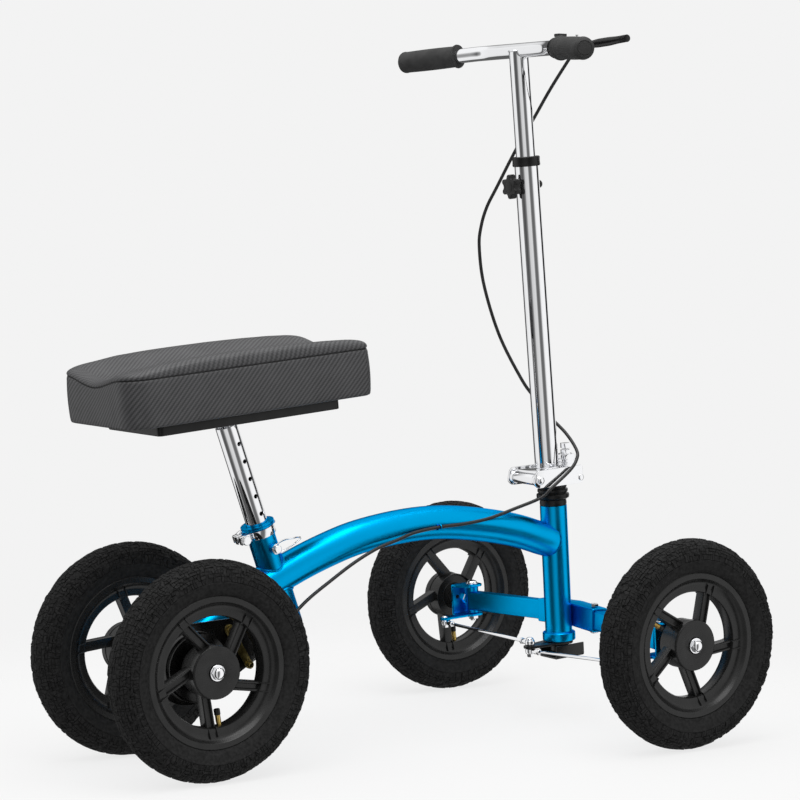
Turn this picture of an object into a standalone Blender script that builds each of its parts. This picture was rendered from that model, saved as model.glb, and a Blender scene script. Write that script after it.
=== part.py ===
"""Four-wheeled knee scooter with a fold-down, height-adjustable steering column.

Row frame: +X forward, +Y to the rider's left, +Z up, metres, with the origin on the floor
midway between the axles. Each moving body has an empty on its joint axis, and its pieces
are children of that empty, modelled in the empty's own axes.
"""

import math

import bmesh
import bpy
from mathutils import Matrix, Vector

# ---------------------------------------------------------------- driving dimensions
WHEEL_R = 0.1524
WHEELBASE = 0.6807
REAR_TRACK = 0.2296
FRONT_TRACK = 0.5962
GAP = 0.0003

STEER_RAKE = math.radians(3.45)
COLUMN_RAKE = math.radians(5.1)
POST_RAKE = math.radians(19.5)
PAD_PITCH = math.radians(5.2)

HEAD_TOP = Vector((0.3244, 0, 0.3264))
HEAD_R, HEAD_BORE, HEAD_LENGTH = 0.0205, 0.0168, 0.2076
COLLAR_R, COLLAR_LENGTH = 0.0250, 0.0129
STEERER_R = 0.0143

MAIN_TUBE_R, MAIN_TUBE_WALL = 0.0250, 0.0025
SEAT_TUBE_R, SEAT_TUBE_BORE, SEAT_TUBE_LENGTH = 0.0200, 0.0163, 0.158
SEAT_TUBE_TOP = Vector((-0.1985, 0, 0.3330))

KINGPIN = Vector((0.3426, 0.2365, WHEEL_R))
BEAM_ROOT = Vector((0.3680, 0, 0.1575))
STEER_ARM = 0.0555

FOLD_PIN_U, FOLD_PIN_W = -0.0478, 0.0456
LATCH_U, LATCH_W = 0.0285, 0.0420

COLUMN_POINT = Vector((0.30755, 0, 0.4363))
LOWER_TUBE_R, LOWER_TUBE_BORE = 0.0180, 0.0157
LOWER_TUBE_BOTTOM, LOWER_TUBE_TOP = -0.0508, 0.4165
UPPER_TUBE_R, UPPER_TUBE_BORE, UPPER_TUBE_BOTTOM = 0.0147, 0.0125, 0.2300
KNOB_HEIGHT = 0.3752

BAR_R, BAR_BORE, BAR_Z = 0.0110, 0.0092, 1.0090
BAR_BEND = Vector((0.2488, 0.0960, 1.0080))
BAR_END = Vector((0.2040, 0.2256, 0.9997))
GRIP_R, GRIP_LENGTH = 0.0165, 0.103
PERCH = Vector((0.2420, -0.1160, 1.0067))

POST_R, POST_BORE, HOLE_PITCH = 0.0157, 0.0133, 0.0265
PIN_DEPTH = 0.0385
PAD_CENTRE = Vector((-0.2585, 0, 0.4974))
PAD_LENGTH, PAD_WIDTH, PAD_HEIGHT, BOARD_HEIGHT = 0.386, 0.205, 0.082, 0.0160

HUB_R, RIM_INNER_R, RIM_R, BEAD_R = 0.0360, 0.0760, 0.1035, 0.1045
HUB_FACE, HUB_BACK, AXLE_R, AXLE_BORE = 0.0180, -0.0300, 0.0060, 0.0066
TYRE_MIDDLE_R, TYRE_HALF_WIDTH, TYRE_WALL = 0.1260, 0.0272, 0.0047
NUT_R, NUT_LENGTH = 0.0100, 0.0100
SPOKES, SPOKE_WIDTH, SPOKE_OFFSET = 5, 0.0140, 0.0165
# Where each wheel's valve stands, in degrees from +X towards +Z.
VALVE_ANGLES = {"front_left": -82.4, "front_right": 151.0, "rear_left": 41.6, "rear_right": -80.4}
DRUM_R, DRUM_NEAR, DRUM_FAR = 0.0460, -0.0304, -0.0560
BRAKE_ARM_PIVOT = Vector((-0.2790, -0.0590, 0.1965))
BRAKE_ARM_LENGTH, BRAKE_ARM_LEAN = 0.0606, math.radians(31.3)

CABLE_R = 0.0025
LEVER_PIVOT = PERCH + Vector((0.0262, -0.0100, 0.0043))

# Points on the brake cable's centre line, chosen by hand, from the lever to the drum.
CABLE_ROUTE = [
    (0.2842, -0.1060, 1.0065), (0.2868, -0.0962, 1.0047), (0.2890, -0.0800, 0.9930),
    (0.2900, -0.0480, 0.9650), (0.2910, -0.0240, 0.9430),
    (0.2930, 0.0060, 0.9146), (0.2800, 0.0384, 0.8629),
    (0.2600, 0.0590, 0.8074), (0.2508, 0.0720, 0.7773), (0.2452, 0.0790, 0.7479),
    (0.2440, 0.0820, 0.7168), (0.2515, 0.0800, 0.6592), (0.2716, 0.0680, 0.5832),
    (0.2979, 0.0480, 0.5179), (0.3130, 0.0360, 0.4900), (0.3300, 0.0180, 0.4600),
    (0.3420, -0.0080, 0.4350), (0.3460, -0.0290, 0.4113), (0.3400, -0.0375, 0.3980),
    (0.3250, -0.0400, 0.3820), (0.2912, -0.0395, 0.3575), (0.2722, -0.0370, 0.3433),
    (0.2300, -0.0320, 0.3300), (0.1845, -0.0300, 0.3180), (0.1400, -0.0290, 0.3125),
    (0.0941, -0.0286, 0.3104), (0.0511, -0.0286, 0.3053), (0.0177, -0.0290, 0.2960),
    (-0.0167, -0.0300, 0.2864), (-0.0560, -0.0310, 0.2690), (-0.0958, -0.0320, 0.2466),
    (-0.1367, -0.0340, 0.2222), (-0.1780, -0.0460, 0.1960), (-0.2000, -0.0540, 0.1815),
    (-0.2185, -0.0610, 0.1694),
]
CABLE_STEP, CABLE_TRIM = 0.0165, 0.0008
CABLE_JOINTS = [(0.2440, 0.0820, 0.7168), (0.3460, -0.0290, 0.4113)]


# ---------------------------------------------------------------- scene helpers
def clear_scene():
    for old in list(bpy.data.objects):
        bpy.data.objects.remove(old, do_unlink=True)


def material(name, colour, roughness, metallic=0.0):
    made = bpy.data.materials.new(name)
    made.use_nodes = True
    shader = made.node_tree.nodes["Principled BSDF"]
    shader.inputs["Base Color"].default_value = (*colour, 1)
    shader.inputs["Roughness"].default_value = roughness
    shader.inputs["Metallic"].default_value = metallic
    return made


def raked(point, rake):
    """A frame at the point whose Z leans back by the rake and whose Y is the row's Y."""
    return Matrix.Translation(point) @ Matrix.Rotation(-rake, 4, "Y")


def body(name, frame):
    empty = bpy.data.objects.new(name, None)
    empty.empty_display_size = 0.02
    bpy.context.collection.objects.link(empty)
    empty.matrix_world = frame
    return empty


def mesh_from(bm, name):
    bmesh.ops.recalc_face_normals(bm, faces=bm.faces)
    mesh = bpy.data.meshes.new(name)
    bm.to_mesh(mesh)
    bm.free()
    return mesh


def add(name, bm, finish, parent):
    """Makes the node, whose mesh is in the parent's axes."""
    mesh = mesh_from(bm, name)
    mesh.materials.append(finish)
    mesh.shade_smooth()
    mesh.set_sharp_from_angle(angle=math.radians(40))
    node = bpy.data.objects.new(name, mesh)
    bpy.context.collection.objects.link(node)
    node.parent = parent


def combined(base, *steps, solver="EXACT"):
    """The base solid after each step, an operation and a solid: UNION adds and DIFFERENCE cuts."""
    work = bpy.data.objects.new("work", mesh_from(base, "work"))
    bpy.context.collection.objects.link(work)
    tools = []
    for operation, shape in steps:
        tool = bpy.data.objects.new("tool", mesh_from(shape, "tool"))
        bpy.context.collection.objects.link(tool)
        tool.hide_render = True
        tools.append(tool)
        cut = work.modifiers.new("cut", "BOOLEAN")
        cut.operation = operation
        cut.solver = solver
        cut.object = tool
    evaluated = work.evaluated_get(bpy.context.evaluated_depsgraph_get())
    result = bmesh.new()
    result.from_mesh(evaluated.to_mesh())
    evaluated.to_mesh_clear()
    for made in [work, *tools]:
        bpy.data.objects.remove(made, do_unlink=True)
    return result


# ---------------------------------------------------------------- solids
def moved(bm, frame):
    bmesh.ops.transform(bm, matrix=frame, verts=bm.verts)
    return bm


def aimed(start, direction):
    """A frame at start whose Z points along direction."""
    turn = Vector(direction).to_track_quat("Z", "Y").to_matrix().to_4x4()
    return Matrix.Translation(start) @ turn


def turned(profile, segments, axis="Z"):
    """A closed outline of (radius, height) points, turned about Z, or about Y with height as y."""
    bm = bmesh.new()
    rings = []
    for k in range(segments):
        angle = 2 * math.pi * k / segments
        rings.append([
            bm.verts.new((r * math.cos(angle), r * math.sin(angle), h)) for r, h in profile
        ])
    count = len(profile)
    for k in range(segments):
        here, there = rings[k], rings[(k + 1) % segments]
        for i in range(count):
            j = (i + 1) % count
            bm.faces.new((here[i], there[i], there[j], here[j]))
    bmesh.ops.remove_doubles(bm, verts=bm.verts, dist=1e-6)
    if axis == "Y":
        moved(bm, Matrix.Rotation(math.radians(-90), 4, "X"))
    return bm


def rod(start, end, radius, segments=10):
    bm = bmesh.new()
    start, end = Vector(start), Vector(end)
    frame = aimed((start + end) / 2, end - start)
    bmesh.ops.create_cone(
        bm, cap_ends=True, segments=segments, radius1=radius, radius2=radius,
        depth=(end - start).length, matrix=frame,
    )
    return bm


def ring(start, end, radius, bore, segments=16):
    start, end = Vector(start), Vector(end)
    length = (end - start).length
    profile = [(bore, 0), (radius, 0), (radius, length), (bore, length)]
    return moved(turned(profile, segments), aimed(start, end - start))


def block(low, high, bevel=0.0, axis=None):
    """A box between two corners; axis names the edges, X, Y or Z, that a bevel rounds."""
    bm = bmesh.new()
    low, high = Vector(low), Vector(high)
    size = Matrix.Diagonal((*(high - low), 1))
    bmesh.ops.create_cube(bm, size=1, matrix=Matrix.Translation((low + high) / 2) @ size)
    if bevel:
        along = {"X": 0, "Y": 1, "Z": 2}[axis]
        edges = [
            e for e in bm.edges
            if abs((e.verts[0].co - e.verts[1].co).normalized()[along]) > 0.9
        ]
        bmesh.ops.bevel(bm, geom=edges, offset=bevel, segments=3, affect="EDGES", profile=0.5)
    return bm


def plate(outline, low, high, axis="Z"):
    """A flat outline extruded between two heights along Z, or along Y with outline points (x, z)."""
    bm = bmesh.new()
    if axis == "Z":
        face = bm.faces.new([bm.verts.new((a, b, low)) for a, b in outline])
        step = Vector((0, 0, high - low))
    else:
        face = bm.faces.new([bm.verts.new((a, low, b)) for a, b in outline])
        step = Vector((0, high - low, 0))
    grown = bmesh.ops.extrude_face_region(bm, geom=[face])
    tops = [v for v in grown["geom"] if isinstance(v, bmesh.types.BMVert)]
    bmesh.ops.translate(bm, vec=step, verts=tops)
    return bm


def arc(centre, radius, start, end, steps):
    """Points of a flat arc, in degrees from the first axis towards the second."""
    angles = [math.radians(start + (end - start) * k / steps) for k in range(steps + 1)]
    return [(centre[0] + radius * math.cos(a), centre[1] + radius * math.sin(a)) for a in angles]


def link_outline(length, radius_a, radius_b, steps=7):
    """A link's outline: a round end at the origin and one at -length on the first axis."""
    return arc((0, 0), radius_a, -90, 90, steps) + arc((-length, 0), radius_b, 90, 270, steps)


def smooth_path(points, step):
    """Points at even steps along a smooth curve through the given ones."""
    knots = [Vector(p) for p in points]
    knots = [2 * knots[0] - knots[1], *knots, 2 * knots[-1] - knots[-2]]
    dense = []
    for i in range(1, len(knots) - 2):
        p0, p1, p2, p3 = knots[i - 1:i + 3]
        for k in range(12):
            t = k / 12
            a = 2 * p1 + (p2 - p0) * t
            b = (2 * p0 - 5 * p1 + 4 * p2 - p3) * t * t
            c = (3 * p1 - p0 - 3 * p2 + p3) * t ** 3
            dense.append((a + b + c) / 2)
    dense.append(knots[-2])
    run = [0.0]
    for a, b in zip(dense, dense[1:]):
        run.append(run[-1] + (b - a).length)
    count = max(2, round(run[-1] / step))
    made, i = [], 0
    for k in range(count + 1):
        want = run[-1] * k / count
        while i < len(run) - 2 and run[i + 1] < want:
            i += 1
        made.append(dense[i].lerp(dense[i + 1], (want - run[i]) / (run[i + 1] - run[i])))
    return made


def swept(points, radius, segments=12, side=(0, 1, 0)):
    """A round bar along a path, with flat ends; side stays across the path all along."""
    points = [Vector(p) for p in points]
    bm = bmesh.new()
    rings = []
    for i, point in enumerate(points):
        before, after = points[max(i - 1, 0)], points[min(i + 1, len(points) - 1)]
        along = (after - before).normalized()
        across = Vector(side)
        across = (across - along * across.dot(along)).normalized()
        up = along.cross(across)
        angles = [2 * math.pi * k / segments for k in range(segments)]
        rings.append([
            bm.verts.new(point + radius * (across * math.cos(a) + up * math.sin(a)))
            for a in angles
        ])
    for here, there in zip(rings, rings[1:]):
        for k in range(segments):
            j = (k + 1) % segments
            bm.faces.new((here[k], here[j], there[j], there[k]))
    bm.faces.new(rings[0])
    bm.faces.new(rings[-1])
    return bm


# ---------------------------------------------------------------- finishes
def make_finishes():
    return {
        "blue_paint": material("blue_paint", (0.0, 0.33, 0.80), 0.28, 0.75),
        "chrome": material("chrome", (0.82, 0.83, 0.85), 0.08, 1.0),
        "black_steel": material("black_steel", (0.02, 0.02, 0.02), 0.40, 0.3),
        "black_plastic": material("black_plastic", (0.03, 0.03, 0.03), 0.45),
        "wheel_plastic": material("wheel_plastic", (0.035, 0.035, 0.037), 0.42),
        "tyre_rubber": material("tyre_rubber", (0.02, 0.02, 0.02), 0.85),
        "grip_rubber": material("grip_rubber", (0.06, 0.06, 0.06), 0.70),
        "pad_vinyl": material("pad_vinyl", (0.05, 0.05, 0.055), 0.45),
        "brass": material("brass", (0.70, 0.52, 0.18), 0.35, 1.0),
        "steel": material("steel", (0.55, 0.55, 0.55), 0.30, 1.0),
        "cable_jacket": material("cable_jacket", (0.015, 0.015, 0.015), 0.45),
    }


# ---------------------------------------------------------------- frame
def main_tube_path():
    """The arch, from inside the head tube back and down to the rear axle."""
    return smooth_path([
        (0.3300, 0, 0.2686), (0.3029, 0, 0.2764), (0.2488, 0, 0.2934), (0.1787, 0, 0.3068),
        (0.1091, 0, 0.3139), (0.0443, 0, 0.3119), (-0.0254, 0, 0.3022), (-0.0767, 0, 0.2886),
        (-0.1358, 0, 0.2673), (-0.2000, 0, 0.2380), (-0.2600, 0, 0.2045),
        (-0.3404, 0, WHEEL_R),
    ], 0.055)


def beam_frame(side):
    """Z runs from the beam's middle out to the kingpin, X points forward."""
    out = Vector((KINGPIN.x, side * KINGPIN.y, KINGPIN.z - 0.0020)) - BEAM_ROOT
    out.normalize()
    forward = (Vector((1, 0, 0)) - out * out.x).normalized()
    up = out.cross(forward)
    turn = Matrix((forward, up, out)).transposed().to_4x4()
    return Matrix.Translation(BEAM_ROOT) @ turn


def make_frame(root, finish):
    steer = raked(HEAD_TOP, STEER_RAKE)
    seat = raked(SEAT_TUBE_TOP, POST_RAKE)
    path = main_tube_path()
    flange = -0.0050
    head = moved(rod((0, 0, -HEAD_LENGTH + 0.004), (0, 0, 0), HEAD_R, 16), steer)
    collar = moved(turned([
        (HEAD_BORE, -HEAD_LENGTH), (COLLAR_R - 0.0015, -HEAD_LENGTH),
        (COLLAR_R, -HEAD_LENGTH + 0.003), (COLLAR_R, -HEAD_LENGTH + COLLAR_LENGTH - 0.003),
        (COLLAR_R - 0.002, -HEAD_LENGTH + COLLAR_LENGTH), (HEAD_BORE, -HEAD_LENGTH + COLLAR_LENGTH),
    ], 16), steer)
    sleeves = []
    for side in (1, -1):
        out, inn = (-0.0135, -0.0180), (-0.0108, -0.0153)
        shell = block((*out, 0.0), (0.0135, 0.0180, 0.0700), 0.003, "Z")
        hollow = block((*inn, 0.0260), (0.0108, 0.0153, 0.0720))
        sleeves.append((moved(shell, beam_frame(side)), moved(hollow, beam_frame(side))))
    seat_tube = moved(rod((0, 0, -SEAT_TUBE_LENGTH), (0, 0, -0.002), SEAT_TUBE_R, 16), seat)
    seat_flange = moved(rod((0, 0, flange), (0, 0, 0), 0.0245, 16), seat)
    axle_tube = rod((path[-1].x, -0.0505, WHEEL_R), (path[-1].x, 0.0835, WHEEL_R), 0.0140)
    clip = block((0.0891, -0.0330, 0.3060), (0.0991, -0.0200, 0.3075))
    boss = moved(rod((0.003, -0.0225, -PIN_DEPTH), (0.003, -0.012, -PIN_DEPTH), 0.0072), seat)
    core = swept(path[:-1], MAIN_TUBE_R - MAIN_TUBE_WALL)
    solid = combined(
        head, ("UNION", collar), ("UNION", swept(path, MAIN_TUBE_R)),
        ("UNION", sleeves[0][0]), ("UNION", sleeves[1][0]), ("UNION", seat_tube),
        ("UNION", seat_flange), ("UNION", axle_tube), ("UNION", clip), ("UNION", boss),
        ("DIFFERENCE", core), solver="MANIFOLD",
    )
    bores = [
        moved(rod((0, 0, -HEAD_LENGTH - 0.01), (0, 0, 0.01), HEAD_BORE, 16), steer),
        moved(rod((0, 0, -SEAT_TUBE_LENGTH - 0.01), (0, 0, 0.01), SEAT_TUBE_BORE, 16), seat),
        sleeves[0][1], sleeves[1][1],
        rod((path[-1].x, -0.06, WHEEL_R), (path[-1].x, 0.09, WHEEL_R), AXLE_R + 0.0004),
        moved(rod((0.003, -0.03, -PIN_DEPTH), (0.003, -0.005, -PIN_DEPTH), 0.0046), seat),
    ]
    for side in (1, -1):
        place = beam_frame(side)
        bores.append(moved(rod((0, -0.03, 0.055), (0, 0.03, 0.055), 0.0035, 12), place))
    solid = combined(solid, *[("DIFFERENCE", bore) for bore in bores], solver="MANIFOLD")
    add("main_frame", solid, finish["blue_paint"], root)


def make_beam_arms(root, finish):
    for name, side in (("left", 1), ("right", -1)):
        place = beam_frame(side)
        end = Vector((KINGPIN.x, side * KINGPIN.y, KINGPIN.z - 0.0020))
        reach = (end - BEAM_ROOT).length
        pin = raked(Vector((KINGPIN.x, side * KINGPIN.y, KINGPIN.z)), STEER_RAKE)
        low = (-0.0105, -0.0150)
        arm = moved(block((*low, 0.028), (0.0105, 0.0150, reach), 0.003, "Z"), place)
        hollow = moved(block((-0.0083, -0.0128, 0.020), (0.0083, 0.0128, reach - 0.013)), place)
        barrel = moved(rod((0, 0, -0.0215), (0, 0, 0.0205), 0.0098), pin)
        bore = moved(rod((0, 0, -0.030), (0, 0, 0.030), 0.0056), pin)
        bolt_hole = moved(rod((0, -0.03, 0.055), (0, 0.03, 0.055), 0.0035, 12), place)
        solid = combined(
            arm, ("UNION", barrel), ("DIFFERENCE", hollow), ("DIFFERENCE", bore),
            ("DIFFERENCE", bolt_hole),
        )
        add(f"beam_arm_{name}", solid, finish["blue_paint"], root)
        bolt = combined(
            rod((0, -0.0215, 0.055), (0, 0.0215, 0.055), 0.0030, 12),
            ("UNION", rod((0, 0.0183, 0.055), (0, 0.0225, 0.055), 0.0062, 12)),
            ("UNION", rod((0, -0.0235, 0.055), (0, -0.0183, 0.055), 0.0055, 6)),
        )
        if side < 0:
            moved(bolt, Matrix.Rotation(math.pi, 4, "Z"))
        add(f"beam_bolt_{name}", moved(bolt, place), finish["chrome"], root)


def make_bearings(root, finish):
    steer = raked(HEAD_TOP, STEER_RAKE)
    bore = STEERER_R + 0.0004
    upper = turned([
        (bore, -0.0080), (HEAD_BORE - GAP, -0.0080), (HEAD_BORE - GAP, GAP),
        (0.0200, GAP), (0.0200, 0.0090), (bore, 0.0090),
    ], 16)
    lower = ring((0, 0, -HEAD_LENGTH + 0.0005), (0, 0, -HEAD_LENGTH + 0.0110), HEAD_BORE - GAP, bore)
    add("upper_bearing", moved(upper, steer), finish["black_plastic"], root)
    add("lower_bearing", moved(lower, steer), finish["steel"], root)


def make_seat_clamp(root, finish):
    seat = raked(SEAT_TUBE_TOP, POST_RAKE)
    low, high = -0.0185, -0.0065
    band = ring((0, 0, low), (0, 0, high), 0.0228, SEAT_TUBE_R + GAP)
    ears = block((-0.0370, -0.0100, low), (-0.0205, 0.0100, high))
    slit = block((-0.0380, -0.0016, low - 0.01), (-0.0190, 0.0016, high + 0.01))
    middle = (low + high) / 2
    bolt_hole = rod((-0.0310, -0.02, middle), (-0.0310, 0.02, middle), 0.0034, 12)
    bolt = rod((-0.0310, -0.0150, middle), (-0.0310, 0.0112, middle), 0.0036, 12)
    nut = rod((-0.0310, -0.0150, middle), (-0.0310, -0.0099, middle), 0.0055, 8)
    tongue = block((-0.0335, 0.0099, low + 0.001), (-0.0285, 0.0112, high - 0.001))
    solid = combined(
        band, ("UNION", ears), ("DIFFERENCE", slit), ("DIFFERENCE", bolt_hole),
        ("UNION", bolt), ("UNION", nut), ("UNION", tongue),
    )
    add("seat_clamp", moved(solid, seat), finish["chrome"], root)


def make_brake(root, arm_body, finish):
    axle = Vector((-WHEELBASE / 2, 0, WHEEL_R))
    near, far = -0.0562, -0.0526
    outline = arc((0, 0), 0.0560, 92, 300, 16)
    outline += arc((0.1180, 0.0156), 0.0100, -60, 54, 5)
    outline += arc((0.0710, 0.0440), 0.0150, 54, 92, 3)
    outline = [(axle.x + a, axle.z + b) for a, b in outline]
    stop = block((-0.2245, -0.0680, 0.1600), (-0.2195, far, 0.1760))
    hole = rod((axle.x, -0.07, axle.z), (axle.x, -0.04, axle.z), 0.0068)
    cable_hole = rod((-0.2300, -0.0610, 0.1620), (-0.2140, -0.0610, 0.1725), 0.0016, 8)
    pivot = BRAKE_ARM_PIVOT
    stud = rod((pivot.x, near + 0.001, pivot.z), (pivot.x, pivot.y - 0.004, pivot.z), 0.0030, 12)
    solid = combined(
        plate(outline, near, far, "Y"), ("DIFFERENCE", hole), ("UNION", stop),
        ("DIFFERENCE", cable_hole), ("UNION", stud),
    )
    add("brake_plate", solid, finish["black_steel"], root)

    wrap = [(DRUM_R + 0.0028, a) for a in range(70, 391, 20)]
    wrap += [(DRUM_R + 0.0010, a) for a in range(390, 69, -20)]
    outline = [
        (axle.x + r * math.cos(math.radians(a)), axle.z + r * math.sin(math.radians(a)))
        for r, a in wrap
    ]
    add("brake_band", plate(outline, -0.0780, -0.0640, "Y"), finish["steel"], root)

    lean = BRAKE_ARM_LEAN
    tip = BRAKE_ARM_LENGTH * Vector((math.sin(lean), 0, -math.cos(lean)))
    link = plate(link_outline(BRAKE_ARM_LENGTH, 0.0070, 0.0055), -0.0016, 0.0016, "Y")
    moved(link, Matrix.Rotation(-math.pi / 2 - lean, 4, "Y"))
    bore = rod((0, -0.01, 0), (0, 0.01, 0), 0.0035, 12)
    end_boss = rod((tip.x, -0.0045, tip.z), (tip.x, 0.0010, tip.z), 0.0048, 12)
    solid = combined(link, ("UNION", end_boss), ("DIFFERENCE", bore))
    add("brake_arm", solid, finish["brass"], arm_body)


def make_rear_axle(root, finish):
    x = -WHEELBASE / 2
    outer = REAR_TRACK / 2 + HUB_FACE
    shaft = rod((x, -outer - 0.002, WHEEL_R), (x, outer + 0.002, WHEEL_R), AXLE_R)
    steps = [("UNION", nut_dome(Vector((x, side * (outer + 0.0005), WHEEL_R)), side))
             for side in (1, -1)]
    add("rear_axle", combined(shaft, *steps), finish["chrome"], root)


def nut_dome(base, side):
    profile = [(0, 0), (NUT_R, 0), (NUT_R, 0.004), (0.0075, 0.0078), (0, NUT_LENGTH)]
    return moved(turned(profile, 12), aimed(base, (0, side, 0)))


# ---------------------------------------------------------------- steering and fold joint
def make_steering(parent, finish):
    plate_top = -HEAD_LENGTH - 0.0008
    plate_low = plate_top - 0.0040
    bracket_low = -0.2330
    steerer = ring((0, 0, -0.2225), (0, 0, 0.0325), STEERER_R, 0.0112)
    add("steerer_tube", steerer, finish["black_steel"], parent)

    bore = STEERER_R + GAP
    nut = turned([
        (bore, 0.0095), (0.0215, 0.0095), (0.0242, 0.0118), (0.0242, 0.0195), (0.0215, 0.0218),
        (0.0192, 0.0228), (0.0208, 0.0240), (0.0208, 0.0325), (bore, 0.0325),
    ], 16)
    add("headset_nut", nut, finish["black_plastic"], parent)

    arm = combined(
        plate(link_outline(STEER_ARM, 0.0210, 0.0100), plate_low, plate_top),
        ("DIFFERENCE", rod((0, 0, -0.3), (0, 0, 0), bore, 16)),
        ("DIFFERENCE", rod((-STEER_ARM, 0, -0.3), (-STEER_ARM, 0, 0), 0.0034, 12)),
    )
    add("pitman_arm", arm, finish["black_steel"], parent)
    bolt = combined(
        rod((-STEER_ARM, 0, plate_low - 0.0125), (-STEER_ARM, 0, plate_top + 0.0120), 0.0030, 12),
        ("UNION", rod((-STEER_ARM, 0, plate_top + 0.0087),
                      (-STEER_ARM, 0, plate_top + 0.0125), 0.0056, 12)),
        ("UNION", rod((-STEER_ARM, 0, plate_low - 0.0135),
                      (-STEER_ARM, 0, plate_low - 0.0087), 0.0052, 6)),
    )
    add("pitman_bolt", bolt, finish["chrome"], parent)

    outer = block((-0.0220, -0.0220, bracket_low), (0.0300, 0.0220, plate_low - GAP), 0.006, "X")
    inner = block((-0.0300, -0.0190, bracket_low + 0.003), (0.0400, 0.0190, plate_low + 0.003))
    add("lower_bracket", combined(outer, ("DIFFERENCE", inner)), finish["black_steel"], parent)


def make_fold_base(parent, finish):
    top, bottom, front, rear = 0.0605, 0.0335, 0.0325, -0.0560
    outline = [(front, bottom), (front, top), (rear + 0.003, top), (rear, top - 0.003)]
    outline += arc((FOLD_PIN_U, FOLD_PIN_W), 0.0100, 200, 262, 4)
    cheeks = [plate(outline, side * 0.0350, side * 0.0310, "Y") for side in (1, -1)]
    floor = block((-0.0300, -0.0320, bottom), (LATCH_U - 0.0085, 0.0320, bottom + 0.0035))
    boss = rod((0, 0, bottom - 0.0007), (0, 0, bottom + 0.001), 0.0190, 16)
    solid = combined(
        floor, ("UNION", cheeks[0]), ("UNION", cheeks[1]), ("UNION", boss),
        ("DIFFERENCE", rod((FOLD_PIN_U, -0.05, FOLD_PIN_W), (FOLD_PIN_U, 0.05, FOLD_PIN_W), 0.0040)),
        ("DIFFERENCE", rod((LATCH_U, -0.05, LATCH_W), (LATCH_U, 0.05, LATCH_W), 0.0034, 12)),
    )
    add("fold_base", solid, finish["chrome"], parent)

    profile = [(0, -0.0395), (0.0040, -0.0390), (0.0058, -0.0354), (0.0036, -0.0353),
               (0.0036, 0.0353), (0.0058, 0.0354), (0.0040, 0.0390), (0, 0.0395)]
    pin = moved(turned(profile, 16, "Y"), Matrix.Translation((FOLD_PIN_U, 0, FOLD_PIN_W)))
    add("fold_pin", pin, finish["chrome"], parent)


def make_latch(parent, finish):
    """Modelled about its own cross pin."""
    boss = rod((0, -0.0125, 0), (0, 0.0125, 0), 0.0072)
    trunnion = rod((0, -0.0350, 0), (0, 0.0350, 0), 0.0028, 12)
    block_low, block_high = 0.0090, 0.0334
    shank = block((-0.0040, -0.0080, 0.002), (0.0050, 0.0080, 0.012))
    head = block((-0.0120, -0.0130, block_low), (0.0085, 0.0130, block_high), 0.002, "Y")
    stem = rod((-0.001, 0, 0.030), (-0.001, 0, 0.0420), 0.0045, 12)
    nut = rod((-0.001, 0, 0.0405), (-0.001, 0, 0.0515), 0.0075, 6)
    solid = combined(
        boss, ("UNION", trunnion), ("UNION", shank), ("UNION", head), ("UNION", stem),
        ("UNION", nut),
    )
    add("fold_latch", solid, finish["chrome"], parent)


def make_column(parent, finish):
    """The parent stands on the fold pin."""
    local = parent.matrix_world.inverted()
    steer = raked(HEAD_TOP, STEER_RAKE)
    column = raked(COLUMN_POINT, COLUMN_RAKE)
    foot = block((-0.0490, -0.0300, 0.0385), (0.0155, 0.0300, 0.0585), 0.002, "Y")
    barrel = rod((FOLD_PIN_U, -0.0306, FOLD_PIN_W), (FOLD_PIN_U, 0.0306, FOLD_PIN_W), 0.0082)
    bore = rod((FOLD_PIN_U, -0.05, FOLD_PIN_W), (FOLD_PIN_U, 0.05, FOLD_PIN_W), 0.0041)
    solid = combined(foot, ("UNION", barrel), ("DIFFERENCE", bore))
    add("column_foot", moved(solid, local @ steer), finish["chrome"], parent)

    place = local @ column
    tube = ring((0, 0, LOWER_TUBE_BOTTOM), (0, 0, LOWER_TUBE_TOP), LOWER_TUBE_R, LOWER_TUBE_BORE)
    studs = rod((-0.03, 0, KNOB_HEIGHT), (0.03, 0, KNOB_HEIGHT), 0.0044, 12)
    tube = combined(tube, ("DIFFERENCE", studs))
    add("lower_column", moved(tube, place), finish["chrome"], parent)

    top = LOWER_TUBE_TOP + 0.0015
    collar = turned([
        (LOWER_TUBE_R + GAP, top - 0.0145), (0.0202, top - 0.0145), (0.0208, top - 0.0125),
        (0.0208, top - 0.0010), (0.0202, top), (UPPER_TUBE_R + 0.0008, top),
        (UPPER_TUBE_R + 0.0008, top - 0.0011), (LOWER_TUBE_R + GAP, top - 0.0011),
    ], 16)
    add("column_collar", moved(collar, place), finish["black_plastic"], parent)

    bolt = combined(
        rod((0.0152, 0, KNOB_HEIGHT), (0.0260, 0, KNOB_HEIGHT), 0.0038, 12),
        ("UNION", rod((0.0187, 0, KNOB_HEIGHT), (0.0270, 0, KNOB_HEIGHT), 0.0058, 12)),
    )
    add("clamp_bolt", moved(bolt, place), finish["black_steel"], parent)


def make_knob(parent, finish):
    """Star knob on its stud. Its own Z points rearward along the stud."""
    lobes, points = 6, []
    for k in range(lobes * 4):
        angle = 2 * math.pi * k / (lobes * 4)
        points.append((0.0160 + 0.0022 * math.cos(lobes * angle), angle))
    outline = [(r * math.cos(a), r * math.sin(a)) for r, a in points]
    solid = combined(
        plate(outline, 0.0240, 0.0370),
        ("UNION", rod((0, 0, 0.0187), (0, 0, 0.0250), 0.0090)),
        ("UNION", rod((0, 0, 0.0153), (0, 0, 0.0200), 0.0038, 12)),
    )
    add("height_knob", solid, finish["black_plastic"], parent)


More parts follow.
